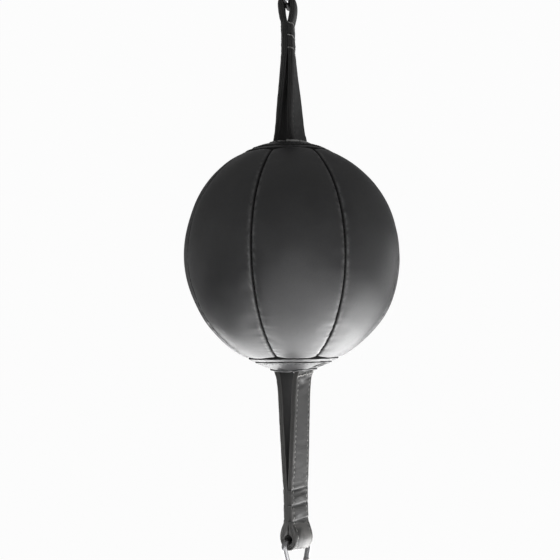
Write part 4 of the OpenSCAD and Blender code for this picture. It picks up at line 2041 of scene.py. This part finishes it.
    def _rims(self, radius: float, inset: float) -> list[Array]:
        """Closed lines along a disc's rim, its slots and its valve hole.

        Args:
            radius: Radius of the disc.
            inset: How far the lines lie in the disc from its edges.

        Returns:
            The lines, each as points [x, y].
        """
        rims = [(radius - inset) * circle(around(self.RIM_POINTS))]
        rims += [self._slot_line(side, inset, self.slot_step) for side in (1, -1)]
        if self.valve is not None:
            hole = (self.valve_hole + inset) * circle(around(self.HOLE_POINTS))
            rims.append(np.array(self.valve) + hole)
        return rims

    def _net(self, radius: float) -> tuple[Array, Array]:
        """Triangles over a disc with its slots and valve hole left open.

        Args:
            radius: Radius of the disc.

        Returns:
            The points [x, y], and the triangles.
        """
        insets = [share * MM for share in (0.0, 0.18, 0.45, 0.85, 1.4)]
        loops = [rim for inset in insets for rim in self._rims(radius, inset)]
        step = self.net_step
        count = int(radius / step) + 2
        i, j = np.meshgrid(np.arange(-count, count + 1), np.arange(-count, count + 1))
        x, y = (i + 0.5 * (j % 2)) * step, j * step * math.sqrt(0.75)
        clear = np.minimum(np.minimum(self._to_slot(x, y), self._to_valve(x, y)),
                           radius - np.hypot(x, y))
        fill = stacked(x, y)[clear > insets[-1] + 0.8 * MM]
        edges, first = [], 0
        for loop in loops:
            ring = first + np.arange(len(loop))
            edges += zip(ring.tolist(), np.roll(ring, -1).tolist())
            first += len(loop)
        points = np.concatenate([*loops, fill]) / MM
        found = delaunay_2d_cdt([Vector(p) for p in points.tolist()], edges, [], 0, 1e-6, False)
        flat = np.array([list(p) for p in found[0]]) * MM
        triangles = np.array(found[2])
        x, y = flat[triangles].mean(axis=1).T
        keep = (self._to_slot(x, y) > 0) & (self._to_valve(x, y) > 0)
        return flat, triangles[keep & (np.hypot(x, y) < radius)]

    def _disc(self, name: str, radius: float, depth: float, thickness: float, rim: float,
              finish: Material) -> Piece:
        """Makes a slotted disc that follows the ball.

        Args:
            name: The piece's name.
            radius: Radius of the disc.
            depth: Depth of its outer face below the ball.
            thickness: Its thickness.
            rim: Rounding of its rim.
            finish: Its material.

        Returns:
            The piece.
        """
        flat, triangles = self._net(radius)
        x, y = flat.T
        to_rim = np.maximum(radius - np.hypot(x, y), 0)
        to_slot = np.maximum(self._to_slot(x, y), 0)
        to_valve = np.maximum(self._to_valve(x, y), 0)
        at = stacked(x, y, depth)
        fall = roll(to_rim, rim) + roll(to_slot, 0.8 * MM) + roll(to_valve, 0.6 * MM)
        fall = fall + 0.3 * MM * bell(to_rim - self.stitch_in, 0.7 * MM)
        fall = fall + 0.12 * MM * Unevenness(13 * MM, 31)(at)
        outer = self._place(x, y, -(depth + fall))
        inner = self._place(x, y, -(depth + np.maximum(fall * 0.6, 0) + thickness))
        # Rim and slot wear with a painted highlight; at the upper end mostly a pale painted
        # highlight round the slots.
        wear = bell(to_rim - 1.2 * MM, 1.1 * MM)
        if self.rubbed_and_lit:
            wear = 0.12 * wear + bell(to_slot, 2.4 * MM)
        else:
            wear = wear + 0.5 * bell(to_slot - MM, 1.2 * MM)
        # The groove mark paints shade on the rim's cut edge, with its black edge paint.
        made = Solid(name).add(
            thickened(outer, inner, triangles), wear=np.append(wear, 0 * wear),
            groove=np.tile(1 - ease(to_rim, 0.02 * MM, 0.3 * MM), 2), lay=np.tile(at, (2, 1)))
        return made.make(finish)

    def _band(self) -> Piece:
        """Makes the ring band, with the flanges by which it is sewn in.

        Returns:
            The band.
        """
        inner, outer = self.band_inner, self.band_outer
        crown = np.linspace(0, 1, 18)
        wide = crown * (outer - inner)
        inside = np.minimum(crown, 1 - crown) * (outer - inner)
        level = self.band_low + (self.band_high - self.band_low) * crown
        level = level + 0.3 * MM * (1 - (2 * crown - 1) ** 2) - roll(inside, 0.4 * MM)
        tuck, flange, under, low = self.tuck, self.flange, self.under, self.low
        lower = np.array([
            [outer + 0.2 * MM, -under - MM], [outer + 0.9 * MM, -low + 0.2 * MM],
            [outer + flange, -low], [outer + flange, -low - MM],
            [outer, -low - 1.1 * MM], [outer - MM, -under - MM],
            [inner, -under - 1.2 * MM], [inner - tuck, -under - 1.2 * MM],
            [inner - tuck, -under], [inner - 0.2 * MM, -under],
        ])
        radius, out = np.concatenate([stacked(inner + wide, level), lower]).T
        turns = around(self.BAND_POINTS)[:, None]
        x, y = radius * np.cos(turns), radius * np.sin(turns)
        tug = 0.5 + 0.5 * np.cos(turns * self.BAND_STITCHES)
        gather = 0.09 * MM * Unevenness(5 * MM, 33)(stacked(x, y, 0)) - 0.1 * MM * tug
        on_face = np.arange(len(radius)) < len(crown)
        hidden = np.zeros(len(lower))
        # Wear with a painted highlight along the band's edges; painted shade with edge paint on
        # its cut edge, and the hidden flanges painted dark.
        wear = np.append(0.8 * bell(inside - MM, 0.9 * MM), hidden)
        cut_edge = np.append(1 - ease(outer - inner - wide, 0.02 * MM, 0.38 * MM), 1 + hidden)
        word = self.strap.pole.word
        solid = Solid(f"{word}_ring_band").add(
            loft(self._place(x, y, out + gather * on_face), Ends.JOINED),
            wear=np.tile(wear, len(turns)), groove=np.tile(cut_edge, len(turns)))
        return dressed(solid.make(self.finishes.ball), "ball", "ball_leather", f"{word}_band")

    def _welts(self, finish: Material) -> Piece:
        """Makes the rolled leather edge round both slots.

        Args:
            finish: Its material.

        Returns:
            The edges, as one piece.
        """
        word, step = self.strap.pole.word, self.welt_step
        solid = Solid(f"{word}_slot_piping")
        # Painted highlight with some wear: the piping's outer side is marked, and at the upper end
        # all of it.
        top = np.clip(np.sin(around(self.WELT_SIDES)) + 0.3, 0, 1)
        worn_and_lit = 0 * top + 2.6 if self.rubbed_and_lit else top
        for side in (1, -1):
            x, y = self._slot_line(side, self.welt_out, step).T
            turns = FULL_TURN * np.arange(len(x)) * step / self.welt_pucker
            thick = self.welt * (1 + 0.05 * np.cos(turns))
            path = self._place(x, y, self.welt - 0.72 * MM)
            rings = tube(path, self._out(x, y), thick, self.WELT_SIDES, joined=True)
            solid.add(loft(rings, Ends.JOINED), wear=np.tile(worn_and_lit, len(x)))
        return dressed(solid.make(finish), "ball", "ball_leather", f"{word}_slot_welts")

    def _cap_stitching(self) -> Piece:
        """Makes the stitches round the cap's rim.

        Returns:
            The stitches, as one piece.
        """
        radius = self.cap_radius - self.stitch_in
        count = int(FULL_TURN * radius / self.stitch_step)
        t = np.linspace(-1, 1, 7)[None]
        turns = (np.arange(count)[:, None] + 0.5) * FULL_TURN / count
        turns = turns + t * self.stitch_length / 2 / radius
        x, y = radius * np.cos(turns), radius * np.sin(turns)
        clear = ((self._to_slot(x, y) > 2.4 * MM) & (self._to_valve(x, y) > 2 * MM)).all(axis=1)
        x, y = x[clear], y[clear]
        path = self._place(x, y, -0.3 * MM + self.thread * (arch(t) - 0.35))
        solid = Solid(f"{self.strap.pole.word}_cap_stitching")
        solid.add(stitches(path, self._out(x, y), self.thread))
        return dressed(solid.make(self.finishes.black_thread), "ball", "ball_leather")


# ---- Inside the ball ----


@dataclass
class AirChamber:
    """The canvas lining and the rubber bladder, and the finish of the valve."""

    ball: BallShape
    finishes: Finishes
    depth: float = 6.1 * MM
    pole_depth: float = 13.4 * MM
    lining: float = 0.9 * MM
    bladder: float = 1 * MM
    between: float = 0.4 * MM
    deeper_from: float = math.radians(56)
    deeper_to: float = math.radians(65)

    SKIN_ROWS = 90
    SKIN_COLUMNS = 210

    def build(self) -> list[Piece]:
        """Makes both skins and dresses the valve's nodes.

        Returns:
            The two skins.
        """
        for name in ("valve_stem", "valve_grommet"):
            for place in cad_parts[name].material_slots:
                place.material = self.finishes.valve
            log.info("%s: packed node, dressed", name)
        canvas, rubber = self.finishes.canvas, self.finishes.bladder
        ribs = self._skin("canvas_lining", 0.0, self.lining, GORES, 0.45 * MM, canvas)
        start = self.lining + self.between
        tank = self._skin("air_bladder", start, self.bladder, 4, -0.25 * MM, rubber)
        return [
            dressed(ribs, "ball", "canvas", "lining"),
            dressed(tank, "ball", "bladder_rubber", "bladder"),
        ]

    def _skin(self, name: str, depth: float, thickness: float, seams: int, seam: float,
              finish: Material) -> Piece:
        """Makes one closed skin inside the leather.

        Args:
            name: The piece's name.
            depth: Depth of its outside below the lining's outside.
            thickness: Its thickness.
            seams: How many seams or mould lines run from pole to pole.
            seam: How far inwards they thicken it.
            finish: Its material.

        Returns:
            The piece.
        """
        end = math.pi / 2 - 0.01
        u = np.linspace(-end, end, self.SKIN_ROWS)[:, None]
        turns = around(self.SKIN_COLUMNS)[None]
        deeper = ease(np.abs(u), self.deeper_from, self.deeper_to)
        fall = self.depth + (self.pole_depth - self.depth) * deeper
        solid = Solid(name)
        ring, _ = self.ball.section(u, 0.0)
        away = (np.mod(turns / FULL_TURN * seams + 0.5, 1) - 0.5) / seams * FULL_TURN * ring
        felled = seam * (1 - ease(np.abs(away), 3 * MM, 4.4 * MM))
        lay = stacked(turns * 0.1, u * 0.117, 0.0).reshape(-1, 3)
        for extra in (depth, depth + thickness + felled):
            points = self.ball.place(turns + self.ball.turn, u, -(fall + extra))
            solid.add(loft(points, Ends.CAPPED), lay=lay)
        return solid.make(finish)


# ---- The rings ----


@dataclass
class WireRing:
    """A bent and welded wire ring through a strap's eye."""

    strap: StrapShape
    finishes: Finishes
    half_width: float = 20 * MM
    lean: float = math.radians(15)
    end_radius: float = 11 * MM
    corner_radius: float = 5.5 * MM
    weld: float = 0.3 * MM
    weld_length: float = 1.5 * MM
    weld_height: float = 22 * MM

    SIDES = 28

    def build(self) -> Piece:
        """Makes the ring with the small bead of its weld.

        Returns:
            The ring.
        """
        flat, length = self._line()
        word, sign = self.strap.pole.word, self.strap.pole.value
        wide = np.append(circle(self.strap.eye_turn), 0)
        bar = self.strap.pole_z + sign * self.strap.reach
        path = flat[:, :1] * wide + (flat[:, 1:] * sign + bar) * UP
        out = np.broadcast_to(np.cross(wide, UP), path.shape)
        at_weld = bell(length - self._weld_place(flat, length), self.weld_length)
        radius = self.strap.wire / 2 + self.weld * at_weld
        rings = tube(path, out, radius, self.SIDES, joined=True)
        lay = stacked(length[:, None], around(self.SIDES)[None] * 3 * MM, 0.0)
        solid = Solid(f"{word}_wire_ring").add(
            loft(rings, Ends.JOINED), lay=lay.reshape(-1, 3), weld=np.repeat(at_weld, self.SIDES))
        name = f"{word}_ring"
        return dressed(solid.make(self.finishes.steel), name, "ring_steel", name)

    def _weld_place(self, flat: Array, length: Array) -> float:
        """Length along the wire at the middle of one leaning side."""
        side = (flat[:, 0] > 0) & (np.abs(flat[:, 1] - self.weld_height) < 2 * MM)
        return float(length[side].mean())

    def _line(self) -> tuple[Array, Array]:
        """The wire's middle line in its own plane, with the bar at 0.

        Returns:
            The points [across, away from the bar], and the length to each.
        """
        lean = self.lean
        end_middle = (self.half_width * math.cos(lean) - self.end_radius) / math.sin(lean)
        tangent = self.corner_radius * math.tan((math.pi / 2 + lean) / 2)
        bar = self.half_width - tangent
        bends = np.linspace(-math.pi / 2, lean, 26)
        corner = self.corner_radius * circle(bends) + [bar, self.corner_radius]
        turns = np.linspace(lean, math.pi / 2, 30)
        top = self.end_radius * circle(turns) + [0, end_middle]
        straight = np.linspace(corner[-1], top[0], 40)[1:-1]
        half = np.concatenate([np.linspace([0, 0], corner[0], 14)[:-1], corner, straight, top])
        line = np.concatenate([half, (half * [-1, 1])[1:-1][::-1]])
        return line, run(line)[:-1]


# ---- Studio ----


@dataclass(frozen=True)
class Lamp:
    """A soft square lamp that the camera doesn't see."""

    name: str
    place: tuple[float, float, float]
    aim: tuple[float, float, float]
    size: float
    radiance: float

    def make(self) -> None:
        """Adds the lamp."""
        data = bpy.data.lights.new(self.name, "AREA")
        data.shape = "SQUARE"
        data.size = self.size
        data.energy = self.radiance * math.pi * self.size**2
        lamp = linked(self.name, data)
        lamp.location = self.place
        look = Vector(self.aim) - Vector(self.place)
        lamp.rotation_euler = look.to_track_quat("-Z", "Y").to_euler()
        lamp.visible_camera = False


@dataclass
class Studio:
    """Camera, lamps, world and floor."""

    ball: BallShape
    image: float = 560.0
    ball_x: float = 291.8
    ball_y: float = 255.0
    pixels_per_metre: float = 937.0
    distance: float = 1.4
    below: float = 0.073
    roll: float = math.radians(0.95)
    sensor: float = 36.0
    floor_z: float = CAD_BOX[0].z - 0.14
    reach: float = 9.0
    wall: float = 4.0
    bend: float = 1.5
    seen_white: float = 0.97
    mirrored_white: float = 0.1
    ambient: float = 0.1
    mirrored_low: float = 0.57
    mirrored_high: float = 0.4
    lamp_height: float = 0.02
    tilt: float = 0.0001

    def build(self) -> None:
        """Makes the whole studio."""
        bpy.context.scene.view_settings.view_transform = "Standard"
        self._camera()
        self._backdrop()
        self._world()
        floor, z = self.floor_z + self.lamp_height, self.ball.centre_z
        # Each lamp under the bag leans a hair, so that its turn about its aim is settled.
        for name, x, y, size, radiance in (
            ("under_middle", 0.0, 0.05, 0.9, 0.8),
            ("under_behind", 0.1, 0.24, 0.8, 4.5),
            ("under_right", 0.62, 0.2, 0.95, 3.2),
            ("under_left", -0.36, 0.72, 0.5, 3.6),
            ("under_front", 0.0, -0.85, 1.0, 2.2),
            ("under_front_right", 0.8, -0.85, 0.9, 1.7),
            ("under_back", 0.0, 1.1, 1.2, 0.6),
        ):
            aim = (x, y + math.copysign(self.tilt, y), z)
            Lamp(name, (x, y, floor), aim, size, radiance).make()
        Lamp("front_box", (0.25, -2.3, z - 0.45), (0, 0, z - 0.05), 0.8, 3.0).make()
        Lamp("back_right", (1.6, 1.3, z - 0.2), (0, 0, z), 0.9, 1.2).make()
        Lamp("back_left", (-1.6, 1.3, z - 0.2), (0, 0, z), 0.9, 0.3).make()

    def _camera(self) -> None:
        """Makes the camera, with the ball's centre at its place in the picture."""
        data = bpy.data.cameras.new("camera")
        focal = self.pixels_per_metre * self.distance
        data.sensor_width = self.sensor
        data.lens = focal / self.image * self.sensor
        centre = Vector((0, 0, self.ball.centre_z))
        place = centre + Vector((0, -self.distance, -self.below))
        sight = (centre - place).normalized()
        across, down = self.ball_x - self.image / 2, self.ball_y - self.image / 2
        in_view = Vector((across, -down, -focal)).normalized()
        upright = Vector((-math.sin(self.roll), math.cos(self.roll), 0))
        turned = self._axes(sight, Vector((0, 0, 1))) @ self._axes(in_view, upright).transposed()
        camera = linked("camera", data)
        camera.matrix_world = Matrix.Translation(place) @ turned.to_4x4()
        bpy.context.scene.camera = camera

    @staticmethod
    def _axes(sight: Vector, up: Vector) -> Matrix:
        """Directions of a view.

        Args:
            sight: Direction of the line of sight.
            up: Direction that stands upright in the view.

        Returns:
            Right, up and back, as columns.
        """
        right = sight.cross(up).normalized()
        return Matrix((right, right.cross(sight), -sight)).transposed()

    def _backdrop(self) -> None:
        """Makes the pale floor that curves up into a wall, white but for soft shadows."""
        r = Recipe("backdrop")
        white = r.ray("Is Camera Ray") * self.seen_white
        white = white + r.ray("Is Glossy Ray") * self.mirrored_white
        finish = r.finish(Base_Color=(0.82, 0.82, 0.82, 1), Roughness=0.9)
        glow = r.node("ShaderNodeEmission", None, {"Color": (1, 1, 1, 1)})
        mixed = r.node("ShaderNodeMixShader", None, {0: white, 1: r.shader(), 2: glow})
        r.finish("Material Output", Surface=mixed)
        turns = np.linspace(-math.pi / 2, 0, 24)
        curve = self.bend * (circle(turns) + [0, 1]) + [self.wall - self.bend, 0]
        profile = np.array([[-self.reach, 0], *curve, [self.wall, self.reach]])
        points = [(x, y, z + self.floor_z) for x in (-self.reach, self.reach) for y, z in profile]
        count = len(profile)
        faces = [(i, i + count, i + count + 1, i + 1) for i in range(count - 1)]
        mesh = bpy.data.meshes.new("backdrop")
        mesh.from_pydata(points, [], faces)
        mesh.polygons.foreach_set("use_smooth", np.ones(len(faces), bool))
        mesh.materials.append(finish)
        linked("backdrop", mesh)

    def _world(self) -> None:
        """Makes the world: white to the camera, darker overhead in reflections."""
        r = Recipe("studio", Store.WORLD)
        where = r.node("ShaderNodeTexCoord", output="Generated")
        _, _, high = r.parts(where)
        settings = {"interpolation_type": "SMOOTHSTEP"}
        inputs = {"Value": high, 1: 0.0, 2: 0.75, 3: self.mirrored_low, 4: self.mirrored_high}
        overhead = r.node("ShaderNodeMapRange", settings, inputs)
        inputs = {0: r.ray("Is Glossy Ray"), 2: self.ambient, 3: overhead}
        strength = r.node("ShaderNodeMix", None, inputs).most(r.ray("Is Camera Ray"))
        bpy.context.scene.world = r.finish("Background", Color=(1, 1, 1, 1), Strength=strength)


# ---- The whole bag ----


def main() -> None:
    """Builds the studio, and then the bag piece by piece."""
    logging.basicConfig(level=logging.INFO, format="%(name)s: %(message)s")
    ball = BallShape()
    finishes = Finishes()
    Studio(ball).build()
    swell = AirPressure(ball).swell()
    Gores(ball, finishes, swell=swell).build()
    upper = StrapShape(
        Pole.UPPER, reach=147 * MM, open_length=102 * MM, crease_start=99 * MM,
        crease_step=13.5 * MM, turn=math.radians(56), eye_turn=math.radians(85), taper=4.6 * MM,
        power=1.0, flare=2.9 * MM, flare_length=8.3 * MM, eye_radius=3.3 * MM, eye_power=0.9,
        ball=ball,
    )
    BallEnd(ball, upper, finishes, None, rubbed_and_lit=True, drawn=-0.9 * MM, welt=1.45 * MM).build()
    Strap(
        upper, finishes.dark_strap, finishes.shaded_core, finishes.shaded_lining,
        finishes.grey_thread, finishes.dull_thread, tacked=False, slant=6 * MM,
        binding=0.55 * MM, edge_drop=1.6 * MM, crease_depth=0.55 * MM, cushion=0.4 * MM,
    ).build()
    WireRing(upper, finishes).build()
    lower = StrapShape(
        Pole.LOWER, reach=181 * MM, open_length=127 * MM, crease_start=127 * MM,
        crease_step=16.5 * MM, turn=math.radians(52), eye_turn=math.radians(45), taper=6.2 * MM,
        power=1.6, flare=4.8 * MM, flare_length=10 * MM, eye_radius=5.6 * MM, eye_power=2.3,
        ball=ball,
    )
    low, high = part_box("valve_stem")
    valve = ((low.x + high.x) / 2, (low.y + high.y) / 2)
    BallEnd(ball, lower, finishes, valve).build()
    Strap(
        lower, finishes.strap, finishes.core, finishes.strap_lining, finishes.soft_thread,
        finishes.black_thread, tacked=True, slant=2.4 * MM, eye_swell=1.2 * MM,
        eye_fill=2.2 * MM,
    ).build()
    WireRing(lower, finishes).build()
    AirChamber(ball, finishes).build()


if __name__ == "__main__":
    main()
